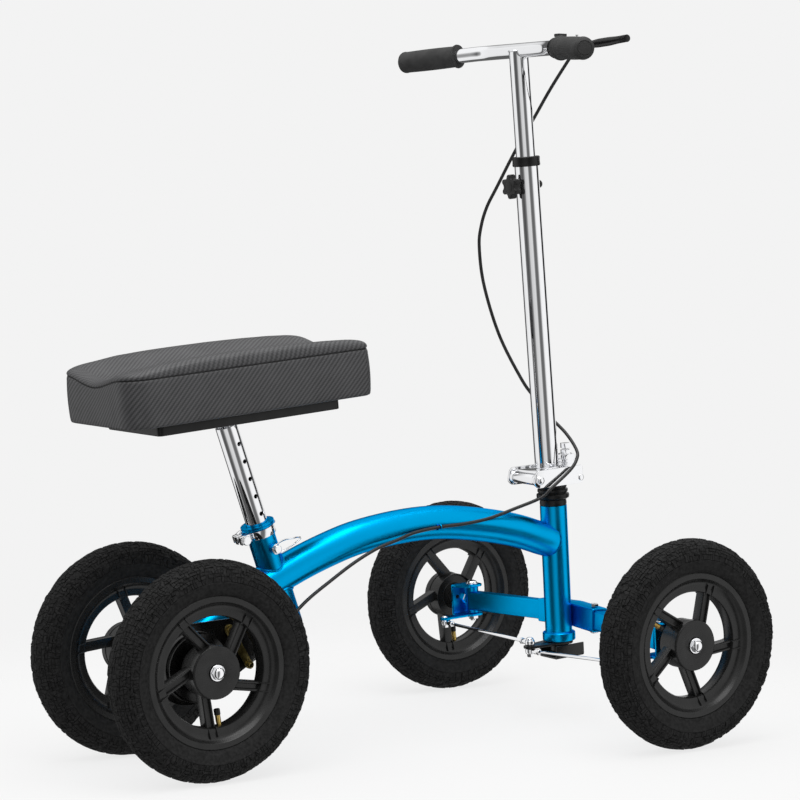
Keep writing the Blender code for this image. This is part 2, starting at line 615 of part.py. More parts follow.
# ---------------------------------------------------------------- handlebar
def bar_path():
    """Points from the right end to the left, mirrored about the middle."""
    half = [
        Vector((0.2568, 0.0, BAR_Z)), Vector((0.2568, 0.0560, BAR_Z)),
        Vector((0.2555, 0.0760, BAR_Z - 0.0002)), BAR_BEND, BAR_END,
    ]
    mirrored = [Vector((p.x, -p.y, p.z)) for p in reversed(half[1:])]
    return mirrored + half


def make_handlebar(parent, finish):
    column = raked(COLUMN_POINT, COLUMN_RAKE)
    local = parent.matrix_world.inverted()
    top = (BAR_Z - COLUMN_POINT.z) / math.cos(COLUMN_RAKE)
    path = bar_path()
    stem = moved(rod((0, 0, UPPER_TUBE_BOTTOM), (0, 0, top), UPPER_TUBE_R, 16), column)
    bore = moved(rod((0, 0, UPPER_TUBE_BOTTOM - 0.01), (0, 0, top - 0.02), UPPER_TUBE_BORE, 16), column)
    ends = [path[0] + (path[0] - path[1]) * 0.1, *path, path[-1] + (path[-1] - path[-2]) * 0.1]
    solid = combined(
        swept(path, BAR_R, side=(0, 0, 1)), ("UNION", stem),
        ("DIFFERENCE", swept(ends, BAR_BORE, side=(0, 0, 1))), ("DIFFERENCE", bore),
    )
    add("handlebar", moved(solid, local), finish["chrome"], parent)

    for name, side in (("left", 1), ("right", -1)):
        end = Vector((BAR_END.x, side * BAR_END.y, BAR_END.z))
        start = Vector((BAR_BEND.x, side * BAR_BEND.y, BAR_BEND.z))
        out = (end - start).normalized()
        bore = BAR_R + 0.0006
        profile = [
            (bore, 0.001), (0, 0.001), (0, 0.0045), (0.0125, 0.0045), (GRIP_R - 0.0005, 0.0010),
            (GRIP_R, -0.0030), (GRIP_R - 0.0008, -GRIP_LENGTH + 0.006),
            (GRIP_R + 0.0008, -GRIP_LENGTH + 0.005), (GRIP_R + 0.0008, -GRIP_LENGTH),
            (bore, -GRIP_LENGTH),
        ]
        grip = moved(turned(profile, 16), local @ aimed(end, out))
        add(f"grip_{name}", grip, finish["grip_rubber"], parent)

    make_perch(parent, finish)


def make_perch(parent, finish):
    """The lever's perch, modelled about the clamp's centre."""
    run = BAR_END - BAR_BEND
    axis = aimed((0, 0, 0), Vector((run.x, -run.y, run.z)))
    x, y = (LEVER_PIVOT - PERCH).xy
    solid = combined(
        moved(ring((0, 0, -0.0055), (0, 0, 0.0055), 0.0150, BAR_R + 0.0004), axis),
        ("UNION", block((0.0092, -0.0060, -0.0062), (0.0172, 0.0070, 0.0078))),
        ("UNION", block((0.0142, -0.0015, -0.0067), (0.0312, 0.0070, 0.0123))),
        ("UNION", rod((x, y, -0.0067), (x, y, -0.0002), 0.0075)),
        ("UNION", rod((x, y, 0.0088), (x, y, 0.0123), 0.0075)),
        ("UNION", block((0.0202, -0.0100, -0.0065), (0.0322, 0.0000, -0.0004))),
        ("UNION", block((0.0202, -0.0100, 0.0090), (0.0322, 0.0000, 0.0121))),
        ("UNION", block((0.0282, -0.0005, -0.0032), (0.0417, 0.0060, 0.0068))),
        ("UNION", rod((0.0422, 0.0100, -0.0002), (0.0396, 0.0000, 0.0016), 0.0045)),
        ("UNION", rod((x, y, -0.0052), (x, y, 0.0113), 0.0026, 12)),
        ("UNION", block((-0.0038, -0.0060, 0.0133), (0.0112, 0.0050, 0.0203))),
        ("DIFFERENCE", moved(rod((0, 0, -0.03), (0, 0, 0.03), BAR_R + 0.0004, 16), axis)),
    )
    place = parent.matrix_world.inverted() @ Matrix.Translation(PERCH)
    add("brake_perch", moved(solid, place), finish["black_steel"], parent)


def make_lever(parent, finish):
    """Modelled about its pivot, which stands upright."""
    bore = rod((0, 0, -0.01), (0, 0, 0.01), 0.0031, 12)
    hub = rod((0, 0, -0.0040), (0, 0, 0.0040), 0.0070)
    path = smooth_path([
        (0.0010, -0.0030, 0.0000), (0.0120, -0.0180, 0.0008), (0.0150, -0.0360, 0.0022),
        (0.0150, -0.0620, 0.0034), (0.0125, -0.0860, 0.0044), (0.0095, -0.1040, 0.0050),
    ], 0.014)
    blade = swept(path, 0.0043, 8, side=(0, 0, 1))
    solid = combined(hub, ("UNION", blade), ("DIFFERENCE", bore))
    add("brake_lever", solid, finish["black_steel"], parent)


# ---------------------------------------------------------------- seat
def pad_outline(length, width, front_r, rear_r):
    front, rear, half = length / 2, -length / 2, width / 2
    steps = 5
    points = arc((front - front_r, half - front_r), front_r, 0, 90, steps)
    points += arc((rear + rear_r, half - rear_r), rear_r, 90, 180, steps)
    points += arc((rear + rear_r, rear_r - half), rear_r, 180, 270, steps)
    points += arc((front - front_r, front_r - half), front_r, 270, 360, steps)
    return points


def make_seat(parent, finish):
    """The parent stands at the seat tube's top, with Z up the post."""
    local = parent.matrix_world.inverted()
    pad = Matrix.Translation(PAD_CENTRE) @ Matrix.Rotation(-PAD_PITCH, 4, "Y")
    top, bottom = 0.1640, -0.1050
    under_board = -BOARD_HEIGHT - 0.0040
    post = rod((0, 0, bottom), (0, 0, top), POST_R, 16)
    bore = rod((0, 0, bottom - 0.01), (0, 0, top - 0.012), POST_BORE, 16)
    spare = moved(block((-0.1, -0.1, under_board + 0.002), (0.1, 0.1, 0.1)), local @ pad)
    flange = moved(block((-0.0450, -0.0320, under_board), (0.0570, 0.0320, -BOARD_HEIGHT - GAP),
                         0.008, "Z"), local @ pad)
    holes = []
    for k in range(7):
        height = -PIN_DEPTH + k * HOLE_PITCH
        holes.append(rod((0.003, -0.03, height), (0.003, -0.008, height), 0.0032, 8))
    solid = combined(
        post, ("DIFFERENCE", spare), ("UNION", flange), ("DIFFERENCE", bore),
        *[("DIFFERENCE", hole) for hole in holes],
    )
    add("seat_post", solid, finish["chrome"], parent)

    board = plate(pad_outline(0.2900, 0.1500, 0.008, 0.008), -BOARD_HEIGHT, -GAP)
    board = moved(board, Matrix.Translation((0.0068, 0, 0)))
    add("pad_board", moved(board, local @ pad), finish["black_plastic"], parent)
    cushion = plate(pad_outline(PAD_LENGTH, PAD_WIDTH, 0.012, 0.036), 0, PAD_HEIGHT)
    rim = [e for e in cushion.edges if min(v.co.z for v in e.verts) > PAD_HEIGHT - 1e-5]
    bmesh.ops.bevel(cushion, geom=rim, offset=0.008, segments=1, affect="EDGES")
    add("knee_pad", moved(cushion, local @ pad), finish["pad_vinyl"], parent)


def make_seat_lever(parent, finish):
    """Modelled about its cam pivot, with Z up the post; the tube's axis is at x +0.031, y -0.016."""
    tube_x, tube_y = 0.0310, -0.0160
    outer = arc((tube_x, tube_y), 0.0365, 152, 22, 8)
    inner = arc((tube_x, tube_y), 0.0325, 22, 152, 8)
    blade = plate(outer + inner, -0.0035, 0.0035)
    cam = rod((0, 0, -0.0050), (0, 0, 0.0050), 0.0042, 12)
    add("seat_lever", combined(blade, ("UNION", cam)), finish["chrome"], parent)


def make_lock_pin(parent, ring_body, finish):
    """Both stand at the pin's head, with Z up the post; the pin runs along Y."""
    profile = [(0, 0.0093), (0.0042, 0.0093), (0.0042, 0), (0.0058, -0.0005),
               (0.0058, -0.0015), (0.0032, -0.0020), (0.0032, -0.0045), (0.0058, -0.0050),
               (0.0058, -0.0065), (0.0050, -0.0075), (0, -0.0075)]
    add("lock_pin", turned(profile, 14, "Y"), finish["chrome"], parent)

    far, half = 0.0330, 0.0090
    loop = [(-0.0045, -0.0033, 0.0052), (0.0020, -0.0033, 0.0068), (0.0140, 0.0020, 0.0060),
            (0.0260, 0.0080, 0.0030)]
    for degrees in range(70, -71, -35):
        angle = math.radians(degrees)
        loop.append((far + half * math.cos(angle), 0.0005 + half * math.sin(angle), 0.0))
    loop += [(0.0260, -0.0070, -0.0030), (0.0140, -0.0045, -0.0055), (0.0040, -0.0033, -0.0064),
             (-0.0045, -0.0033, -0.0052), (-0.0068, -0.0033, 0.0)]
    ring_wire = closed_wire([Vector(p) for p in loop], 0.0011)
    add("pin_ring", ring_wire, finish["chrome"], ring_body)


def closed_wire(loop, radius, segments=8):
    """A round wire along a closed loop of points."""
    bm = bmesh.new()
    centre = sum(loop, Vector()) / len(loop)
    rings, count = [], len(loop)
    for i, point in enumerate(loop):
        along = (loop[(i + 1) % count] - loop[i - 1]).normalized()
        across = along.cross(point - centre).normalized()
        up = along.cross(across)
        rings.append([
            bm.verts.new(point + radius * (across * math.cos(a) + up * math.sin(a)))
            for a in (2 * math.pi * k / segments for k in range(segments))
        ])
    for i in range(count):
        here, there = rings[i], rings[(i + 1) % count]
        for k in range(segments):
            j = (k + 1) % segments
            bm.faces.new((here[k], here[j], there[j], there[k]))
    return bm


# ---------------------------------------------------------------- steering knuckles and tie rods
def make_knuckle(name, side, parent, finish):
    """The parent stands on the kingpin axis at axle height; Y points outboard on both sides."""
    flange_top, flange_low = 0.0209, -0.0219
    thick = 0.0038
    rear, front, inner, web_in, web_out = -0.0265, 0.0140, -0.0140, 0.0167, 0.0205

    def flange(low):
        outline = [
            (rear, side * web_out), (rear, side * 0.0040), (-0.0130, side * inner),
            (0.0080, side * inner), (front, side * (inner + 0.006)), (front, side * web_out),
        ]
        return plate(outline, low, low + thick)

    low_y, high_y = sorted((side * web_in, side * web_out))
    web = block((rear, low_y, flange_low - thick), (front, high_y, flange_top + thick))
    arm_low = flange_low - thick
    arm = plate(link_outline(STEER_ARM, 0.0100, 0.0075), arm_low, flange_low)
    stud = rod((-STEER_ARM, 0, arm_low - 0.0118), (-STEER_ARM, 0, flange_low + 0.003), 0.0028, 12)
    stud_nut = rod((-STEER_ARM, 0, arm_low - 0.0125), (-STEER_ARM, 0, arm_low - 0.0084), 0.0052, 6)
    kingpin_hole = rod((0, 0, -0.05), (0, 0, 0.05), 0.0053)
    axle_hole = rod((-0.0022, -0.03, 0), (-0.0022, 0.03, 0), AXLE_R + 0.0004)
    solid = combined(
        flange(flange_top), ("UNION", web), ("UNION", flange(arm_low)), ("UNION", arm),
        ("UNION", stud), ("UNION", stud_nut), ("DIFFERENCE", kingpin_hole),
        ("DIFFERENCE", axle_hole),
    )
    add(f"knuckle_{name}", solid, finish["blue_paint"], parent)

    head_low = flange_top + thick + GAP
    pin = combined(
        rod((0, 0, arm_low - 0.006), (0, 0, head_low + 0.001), 0.0050),
        ("UNION", turned([(0, head_low), (0.0085, head_low), (0.0080, head_low + 0.0025),
                          (0.0045, head_low + 0.0048), (0, head_low + 0.0052)], 12)),
        ("UNION", rod((0, 0, arm_low - 0.0058), (0, 0, arm_low - GAP), 0.0080, 6)),
    )
    add(f"kingpin_{name}", pin, finish["chrome"], parent)

    wheel_y = FRONT_TRACK / 2 - KINGPIN.y
    face = wheel_y + HUB_FACE
    axle_x = -0.0022
    steps = [
        ("UNION", rod((axle_x, side * 0.0108, 0), (axle_x, side * 0.0162, 0), 0.0082, 12)),
        ("UNION", rod((axle_x, side * 0.0209, 0), (axle_x, side * (wheel_y + HUB_BACK - 0.0005), 0),
                      0.0090)),
        ("UNION", nut_dome(Vector((axle_x, side * (face + 0.0005), 0)), side)),
    ]
    shaft = rod((axle_x, side * 0.0120, 0), (axle_x, side * (face + 0.002), 0), AXLE_R)
    add(f"stub_axle_{name}", combined(shaft, *steps), finish["chrome"], parent)


def make_tie_rod(name, side, parent, finish):
    """The parent stands on the pitman arm's pivot, on the steering frame's axes."""
    plate_top = -HEAD_LENGTH - 0.0008
    eye = 0.0040
    centre = plate_top + 0.0045 if side > 0 else plate_top - 0.0085
    steer = parent.matrix_world
    near = Vector((0, 0, centre))
    knuckle = raked(Vector((KINGPIN.x, side * KINGPIN.y, KINGPIN.z)), STEER_RAKE)
    far_low = -0.0219 - 0.0038 - 0.0084 + 0.0002
    far = steer.inverted() @ (knuckle @ Vector((-STEER_ARM, 0, far_low + eye)))
    out = (far - near).normalized()
    steps = []
    for point, away in ((far, -out), (near, out)):
        steps.append(("UNION", rod(point - Vector((0, 0, eye)), point + Vector((0, 0, eye)), 0.0075)))
        steps.append(("UNION", rod(point + away * 0.006, point + away * 0.022, 0.0038, 12)))
    for point in (near, far):
        hole = rod(point - Vector((0, 0, 0.01)), point + Vector((0, 0, 0.01)), 0.0036, 12)
        steps.append(("DIFFERENCE", hole))
    shaft = rod(near + out * 0.006, far - out * 0.006, 0.0025, 10)
    add(f"tie_rod_{name}", combined(shaft, *steps), finish["chrome"], parent)


# ---------------------------------------------------------------- wheels
def mirrored_profile(half):
    """A profile closed by its mirror image across the wheel's middle plane."""
    return half + [(r, -y) for r, y in reversed(half)]


def tyre_solid():
    inner = [(0.1478, 0.0050), (TYRE_MIDDLE_R, TYRE_HALF_WIDTH - TYRE_WALL)]
    outer = [(0.0980, 0.0105), (BEAD_R, 0.0160), (TYRE_MIDDLE_R, TYRE_HALF_WIDTH), (WHEEL_R, 0.0070)]
    return turned(mirrored_profile(inner + outer), 28, "Y")


def tube_solid():
    """An inner tube with a slit on its inboard side, and its valve stem along X."""
    centre, outer, wall = 0.1275, 0.0165, 0.0022
    angles = [math.radians(a) for a in range(200, 521, 80)]
    profile = [(centre + outer * math.sin(a), outer * math.cos(a)) for a in angles]
    inner = outer - wall
    profile += [(centre + inner * math.sin(a), inner * math.cos(a)) for a in reversed(angles)]
    tube = turned(profile, 16, "Y")
    stem = rod((0.0560, 0, 0), (0.1135, 0, 0), 0.0032, 8)
    return combined(tube, ("UNION", stem))


def rim_solid(hand):
    """Each spoke passes the wheel's centre at SPOKE_OFFSET, on the side that hand gives."""
    half = [(RIM_INNER_R, 0.0105), (0.0935, 0.0120), (0.0935, 0.0195), (RIM_R, 0.0195),
            (0.0968, 0.0100)]
    steps = []
    hub = turned([
        (AXLE_BORE, HUB_FACE), (0.0335, HUB_FACE), (HUB_R, HUB_FACE - 0.0025), (HUB_R, -0.0180),
        (0.0200, -0.0180), (0.0200, HUB_BACK), (AXLE_BORE, HUB_BACK),
    ], 12, "Y")
    ring_part = turned(mirrored_profile(half), 20, "Y")
    for k in range(SPOKES):
        turn = Matrix.Rotation(2 * math.pi * k / SPOKES, 4, "Y")
        spoke = block((0.0240, -0.0095, -SPOKE_WIDTH / 2), (RIM_INNER_R + 0.0025, 0.0075, SPOKE_WIDTH / 2))
        steps.append(("UNION", moved(spoke, turn @ Matrix.Translation((0, 0, -hand * SPOKE_OFFSET)))))
    hole = rod((0.0700, 0, 0), (0.1050, 0, 0), 0.0048, 8)
    return combined(ring_part, ("DIFFERENCE", hole), *steps, ("UNION", hub))


def make_wheel(name, hand, clock, parent, finish):
    """The parent stands at the wheel's centre, Y outboard, turned by clock so that X is the valve.

    The tyre is turned back, so that it meets the floor at a corner of its outline.
    """
    add(f"tyre_{name}", moved(tyre_solid(), clock.inverted()), finish["tyre_rubber"], parent)
    add(f"inner_tube_{name}", tube_solid(), finish["brass"], parent)
    add(f"rim_{name}", rim_solid(hand), finish["wheel_plastic"], parent)


def make_drum(parent, finish):
    profile = [
        (AXLE_BORE + 0.003, DRUM_NEAR), (DRUM_R, DRUM_NEAR), (DRUM_R, DRUM_FAR),
        (0.0400, DRUM_FAR), (0.0400, DRUM_NEAR - 0.006), (AXLE_BORE + 0.003, DRUM_NEAR - 0.006),
    ]
    add("brake_drum", turned(profile, 28, "Y"), finish["black_steel"], parent)


# ---------------------------------------------------------------- cable
def make_cable(owners, finish):
    """The one cable as three tubes, cut at CABLE_JOINTS, each held by its own body."""
    route = smooth_path(CABLE_ROUTE, CABLE_STEP)
    cuts = [min(range(len(route)), key=lambda i: (route[i] - Vector(joint)).length)
            for joint in CABLE_JOINTS]
    edges = [0, *cuts, len(route) - 1]
    for k, (name, parent) in enumerate(owners):
        points = [point.copy() for point in route[edges[k]:edges[k + 1] + 1]]
        points[0] += (points[1] - points[0]).normalized() * CABLE_TRIM
        points[-1] += (points[-2] - points[-1]).normalized() * CABLE_TRIM
        add_cord(name, points, parent, finish)


def add_cord(name, points, parent, finish):
    curve = bpy.data.curves.new(name, "CURVE")
    curve.dimensions = "3D"
    curve.bevel_depth = CABLE_R
    curve.bevel_resolution = 2
    curve.use_fill_caps = True
    spline = curve.splines.new("POLY")
    spline.points.add(len(points) - 1)
    local = parent.matrix_world.inverted()
    for spot, point in zip(spline.points, points):
        spot.co = (*(local @ point), 1)
    curve.materials.append(finish)
    node = bpy.data.objects.new(name, curve)
    bpy.context.collection.objects.link(node)
    node.parent = parent


# ---------------------------------------------------------------- assembly
def main():
    clear_scene()
    finish = make_finishes()
    steer = raked(HEAD_TOP, STEER_RAKE)
    hinge = steer @ Matrix.Translation((FOLD_PIN_U, 0, FOLD_PIN_W))
    column = raked(COLUMN_POINT, COLUMN_RAKE)
    seat = raked(SEAT_TUBE_TOP, POST_RAKE)
    bodies = {
        "frame": body("frame_body", Matrix.Identity(4)),
        "steering": body("steering_body", steer),
        "latch": body("latch_body", steer @ Matrix.Translation((LATCH_U, 0, LATCH_W))),
        "column": body("column_body", hinge),
        "knob": body("knob_body", column @ Matrix.Translation((0, 0, KNOB_HEIGHT))
                     @ Matrix.Rotation(math.radians(-90), 4, "Y")),
        "handlebar": body("handlebar_body", column),
        "lever": body("lever_body", Matrix.Translation(LEVER_PIVOT)),
        "brake_arm": body("brake_arm_body", Matrix.Translation(BRAKE_ARM_PIVOT)),
        "seat": body("seat_body", seat),
        "seat_lever": body("seat_lever_body", seat @ Matrix.Translation((-0.0310, 0.0160, -0.0125))),
        "lock_pin": body("lock_pin_body", seat @ Matrix.Translation((0.003, -0.0255, -PIN_DEPTH))),
        "pin_ring": body("pin_ring_body", seat @ Matrix.Translation((0.003, -0.0255, -PIN_DEPTH))),
    }
    root = bodies["frame"]
    make_frame(root, finish)
    make_beam_arms(root, finish)
    make_bearings(root, finish)
    make_seat_clamp(root, finish)
    make_rear_axle(root, finish)
    make_brake(root, bodies["brake_arm"], finish)
    make_steering(bodies["steering"], finish)
    make_fold_base(bodies["steering"], finish)
    make_latch(bodies["latch"], finish)
    make_column(bodies["column"], finish)
    make_knob(bodies["knob"], finish)
    make_handlebar(bodies["handlebar"], finish)
    make_lever(bodies["lever"], finish)
    make_seat(bodies["seat"], finish)
    make_seat_lever(bodies["seat_lever"], finish)
    make_lock_pin(bodies["lock_pin"], bodies["pin_ring"], finish)
    for name, side in (("left", 1), ("right", -1)):
        knuckle_point = Vector((KINGPIN.x, side * KINGPIN.y, KINGPIN.z))
        make_knuckle(name, side, body(f"knuckle_{name}_body", raked(knuckle_point, STEER_RAKE)), finish)
        pivot = steer @ Matrix.Translation((-STEER_ARM, 0, 0))
        make_tie_rod(name, side, body(f"tie_rod_{name}_body", pivot), finish)
        outward = Matrix.Identity(4) if side > 0 else Matrix.Rotation(math.pi, 4, "Z")
        for end, x, track in (("front", WHEELBASE / 2, FRONT_TRACK), ("rear", -WHEELBASE / 2, REAR_TRACK)):
            centre = Matrix.Translation((x, side * track / 2, WHEEL_R))
            angle = math.radians(VALVE_ANGLES[f"{end}_{name}"])
            clock = Matrix.Rotation(-angle if side > 0 else angle - math.pi, 4, "Y")
            wheel = body(f"wheel_{end}_{name}_body", centre @ outward @ clock)
            make_wheel(f"{end}_{name}", side, clock, wheel, finish)
            if (end, name) == ("rear", "right"):
                make_drum(wheel, finish)
    owners = [("cable_upper", bodies["handlebar"]), ("cable_column", bodies["column"]),
              ("cable_rear", root)]
    make_cable(owners, finish["cable_jacket"])
    bpy.context.view_layer.update()


main()
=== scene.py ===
"""Looks of the four-wheeled knee scooter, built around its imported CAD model.

Row frame: +X forward, +Y to the rider's left, +Z up, metres. The dimensions are the CAD model's.
"""

import math
import random

import bmesh
import bpy
from mathutils import Matrix, Vector, noise


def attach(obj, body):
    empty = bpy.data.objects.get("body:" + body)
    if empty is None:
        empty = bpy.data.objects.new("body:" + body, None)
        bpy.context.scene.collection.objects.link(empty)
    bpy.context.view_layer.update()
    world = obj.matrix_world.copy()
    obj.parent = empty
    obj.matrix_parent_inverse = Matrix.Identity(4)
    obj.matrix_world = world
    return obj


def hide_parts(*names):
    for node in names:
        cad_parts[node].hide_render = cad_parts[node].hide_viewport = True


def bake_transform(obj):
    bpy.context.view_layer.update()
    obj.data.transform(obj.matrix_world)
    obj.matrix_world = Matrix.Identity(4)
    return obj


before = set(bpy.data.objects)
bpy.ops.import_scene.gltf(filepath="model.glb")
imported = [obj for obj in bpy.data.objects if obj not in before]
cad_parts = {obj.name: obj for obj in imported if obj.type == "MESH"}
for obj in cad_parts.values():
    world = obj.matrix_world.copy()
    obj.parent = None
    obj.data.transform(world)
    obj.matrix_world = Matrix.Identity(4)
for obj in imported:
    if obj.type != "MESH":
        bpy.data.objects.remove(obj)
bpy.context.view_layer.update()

# ---------------------------------------------------------------- dimensions
WHEEL_R, WHEELBASE, REAR_TRACK, FRONT_TRACK = 0.1524, 0.6807, 0.2296, 0.5962
STEER_RAKE, COLUMN_RAKE = math.radians(3.45), math.radians(5.1)
POST_RAKE, PAD_PITCH = math.radians(19.5), math.radians(5.2)
HEAD_TOP, HEAD_R, HEAD_LENGTH = Vector((0.3244, 0, 0.3264)), 0.0205, 0.2076
SEAT_TUBE_TOP = Vector((-0.1985, 0, 0.333))
KINGPIN = Vector((0.3426, 0.2365, WHEEL_R))
BEAM_ROOT = Vector((0.368, 0, 0.1575))
STEER_ARM = 0.0555
FOLD_U, FOLD_W = -0.0478, 0.0456
LATCH_U, LATCH_W = 0.0285, 0.042
COLUMN_POINT = Vector((0.30755, 0, 0.4363))
KNOB_HEIGHT = 0.3752
BAR_R, BAR_Z = 0.011, 1.009
BAR_BEND, BAR_END = Vector((0.2488, 0.096, 1.008)), Vector((0.204, 0.2256, 0.9997))
GRIP_R, GRIP_LENGTH = 0.0165, 0.103
PERCH = Vector((0.242, -0.116, 1.0067))
POST_R, HOLE_PITCH, PIN_DEPTH = 0.0157, 0.0265, 0.0385
PAD_CENTRE = Vector((-0.2585, 0, 0.4974))
PAD_LENGTH, PAD_WIDTH, BOARD_HEIGHT = 0.386, 0.205, 0.016
LEVER_PIVOT = PERCH + Vector((0.0262, -0.01, 0.0043))
BRAKE_ARM_PIVOT = Vector((-0.279, -0.059, 0.1965))
SPOKE_OFFSET = 0.0165
VALVE_ANGLES = {"front_left": -82.4, "front_right": 151.0, "rear_left": 41.6, "rear_right": -80.4}
CABLE_R = 0.0025
REAR_X = -WHEELBASE / 2
STEM_R, SEAT_TUBE_R = 0.0147, 0.02
BEAD_R, BEAD_SIDES = 0.0012, 8
PLATE_TOP = -HEAD_LENGTH - 0.0008
CHEEK_IN, CHEEK_OUT = 0.031, 0.035
SEAM_HEIGHT = 0.066
BACKDROP = (0.896, 0.896, 0.896, 1)
UP, DOWN = (0, 0, 1), (0, 0, -1)
SIDES = (("left", 1), ("right", -1))


def raked(point, rake):
    return Matrix.Translation(point) @ Matrix.Rotation(-rake, 4, "Y")


def kingpin_frame(side):
    return raked(Vector((KINGPIN.x, side * KINGPIN.y, KINGPIN.z)), STEER_RAKE)


STEER = raked(HEAD_TOP, STEER_RAKE)
COLUMN = raked(COLUMN_POINT, COLUMN_RAKE)
SEAT = raked(SEAT_TUBE_TOP, POST_RAKE)
PAD = Matrix.Translation(PAD_CENTRE) @ Matrix.Rotation(-PAD_PITCH, 4, "Y")


# ---------------------------------------------------------------- materials
def grey(tone):
    return (tone, tone, tone)


def shader(name, colour, rough, metal=0.0, **sockets):
    made = bpy.data.materials.new(name)
    made.use_nodes = True
    tree = made.node_tree
    bsdf = tree.nodes["Principled BSDF"]
    values = {"Base Color": (*colour, 1), "Roughness": rough, "Metallic": metal, **sockets}
    for socket, value in values.items():
        bsdf.inputs[socket].default_value = value
    return made, tree, bsdf


def node(tree, kind, inputs=(), **settings):
    """A node with settings; inputs pairs a socket with a value or with another node's output."""
    made = tree.nodes.new("ShaderNode" + kind)
    for key, value in settings.items():
        setattr(made, key, value)
    for socket, value in inputs:
        if isinstance(value, bpy.types.NodeSocket):
            tree.links.new(value, made.inputs[socket])
        else:
            made.inputs[socket].default_value = value
    return made


def place(tree):
    return node(tree, "TexCoord").outputs["Object"]


def cloud(tree, scale, detail=3.0, where=None, rough=0.55):
    where = where or place(tree)
    made = node(tree, "TexNoise", [("Vector", where), ("Scale", scale), ("Detail", detail),
                                   ("Roughness", rough)])
    return made.outputs["Fac"]


def ramp(tree, fac, stops):
    made = node(tree, "ValToRGB", [("Fac", fac)])
    elements = made.color_ramp.elements
    while len(elements) < len(stops):
        elements.new(0.5)
    for element, (position, colour) in zip(elements, stops):
        element.position = position
        element.color = (*colour, 1)
    return made.outputs["Color"]


def bump(tree, bsdf, height, strength, distance):
    made = node(tree, "Bump", [("Height", height), ("Strength", strength), ("Distance", distance)])
    tree.links.new(made.outputs["Normal"], bsdf.inputs["Normal"])


def spread(tree, bsdf, fac, low, high, socket="Roughness"):
    made = node(tree, "MapRange", [("Value", fac), ("To Min", low), ("To Max", high)])
    tree.links.new(made.outputs["Result"], bsdf.inputs[socket])


def toned(name, dark, light, rough, metal=0.0, scale=60.0, grain=900.0, depth=0.0003,
          strength=0.25, **sockets):
    """A finish whose tone drifts between two colours, with a fine grain in its surface."""
    made, tree, bsdf = shader(name, light, rough, metal, **sockets)
    tree.links.new(ramp(tree, cloud(tree, scale), [(0.3, dark), (0.7, light)]),
                   bsdf.inputs["Base Color"])
    spread(tree, bsdf, cloud(tree, scale * 4), rough * 0.8, min(1.0, rough * 1.2))
    bump(tree, bsdf, cloud(tree, grain, 4.0), strength, depth)
    return made


def blue_paint():
    made, tree, bsdf = shader("blue_paint", (0.0, 0.36, 0.74), 0.22, 1.0, **{
        "Specular Tint": (0.0, 0.62, 0.95, 1.0)})
    flakes = node(tree, "TexVoronoi", [("Vector", place(tree)), ("Scale", 1400.0)])
    tree.links.new(
        ramp(tree, flakes.outputs["Distance"], [(0.0, (0.0, 0.4, 0.8)), (0.7, (0.0, 0.34, 0.7))]),
        bsdf.inputs["Base Color"])
    spread(tree, bsdf, cloud(tree, 40.0), 0.25, 0.34)
    bump(tree, bsdf, flakes.outputs["Distance"], 0.04, 0.0002)
    return made


def chrome():
    made, tree, bsdf = shader("chrome", (0.9, 0.905, 0.92), 0.05, 1.0)
    spread(tree, bsdf, cloud(tree, 90.0, 5.0), 0.025, 0.085)
    bump(tree, bsdf, cloud(tree, 25.0, 2.0), 0.015, 0.0006)
    return made


def vinyl():
    """Twill weave pressed into vinyl: each tow goes over two and under two."""
    made, tree, bsdf = shader("pad_vinyl", (0.035, 0.035, 0.036), 0.45, 0.0, **{
        "Specular IOR Level": 0.3})
    uv = node(tree, "UVMap", uv_map="weave").outputs["UV"]
    scaled = node(tree, "VectorMath", [(0, uv), (3, 520.0)], operation="SCALE")
    split = node(tree, "SeparateXYZ", [("Vector", scaled.outputs["Vector"])])

    def maths(operation, a, b=0.0):
        return node(tree, "Math", [(0, a), (1, b)], operation=operation).outputs[0]

    u, v = split.outputs["X"], split.outputs["Y"]
    step = maths("SUBTRACT", maths("FLOOR", u), maths("FLOOR", v))
    over = maths("LESS_THAN", maths("FLOORED_MODULO", step, 4.0), 2.0)
    arch_u = maths("SINE", maths("MULTIPLY", maths("FRACT", u), math.pi))
    arch_v = maths("SINE", maths("MULTIPLY", maths("FRACT", v), math.pi))
    height = node(tree, "Mix", [("Factor", over), ("A", arch_u), ("B", arch_v)]).outputs["Result"]
    drift = maths("MULTIPLY", cloud(tree, 30.0), 0.35)
    tone = maths("ADD", maths("MULTIPLY", over, 0.45), drift)
    tree.links.new(ramp(tree, tone, [(0.05, (0.022, 0.022, 0.023)), (0.8, (0.074, 0.074, 0.077))]),
                   bsdf.inputs["Base Color"])
    spread(tree, bsdf, over, 0.5, 0.38)
    bump(tree, bsdf, height, 0.35, 0.0003)
    return made


def tyre_rubber():
    made, tree, bsdf = shader("tyre_rubber", grey(0.01), 0.75, 0.0, **{
        "Specular IOR Level": 0.16})
    tree.links.new(ramp(tree, cloud(tree, 220.0, 6.0, rough=0.7),
                        [(0.35, grey(0.005)), (0.62, grey(0.017))]),
                   bsdf.inputs["Base Color"])
    spread(tree, bsdf, cloud(tree, 500.0, 4.0), 0.62, 0.92)
    bump(tree, bsdf, cloud(tree, 1300.0, 5.0), 0.45, 0.0005)
    return made


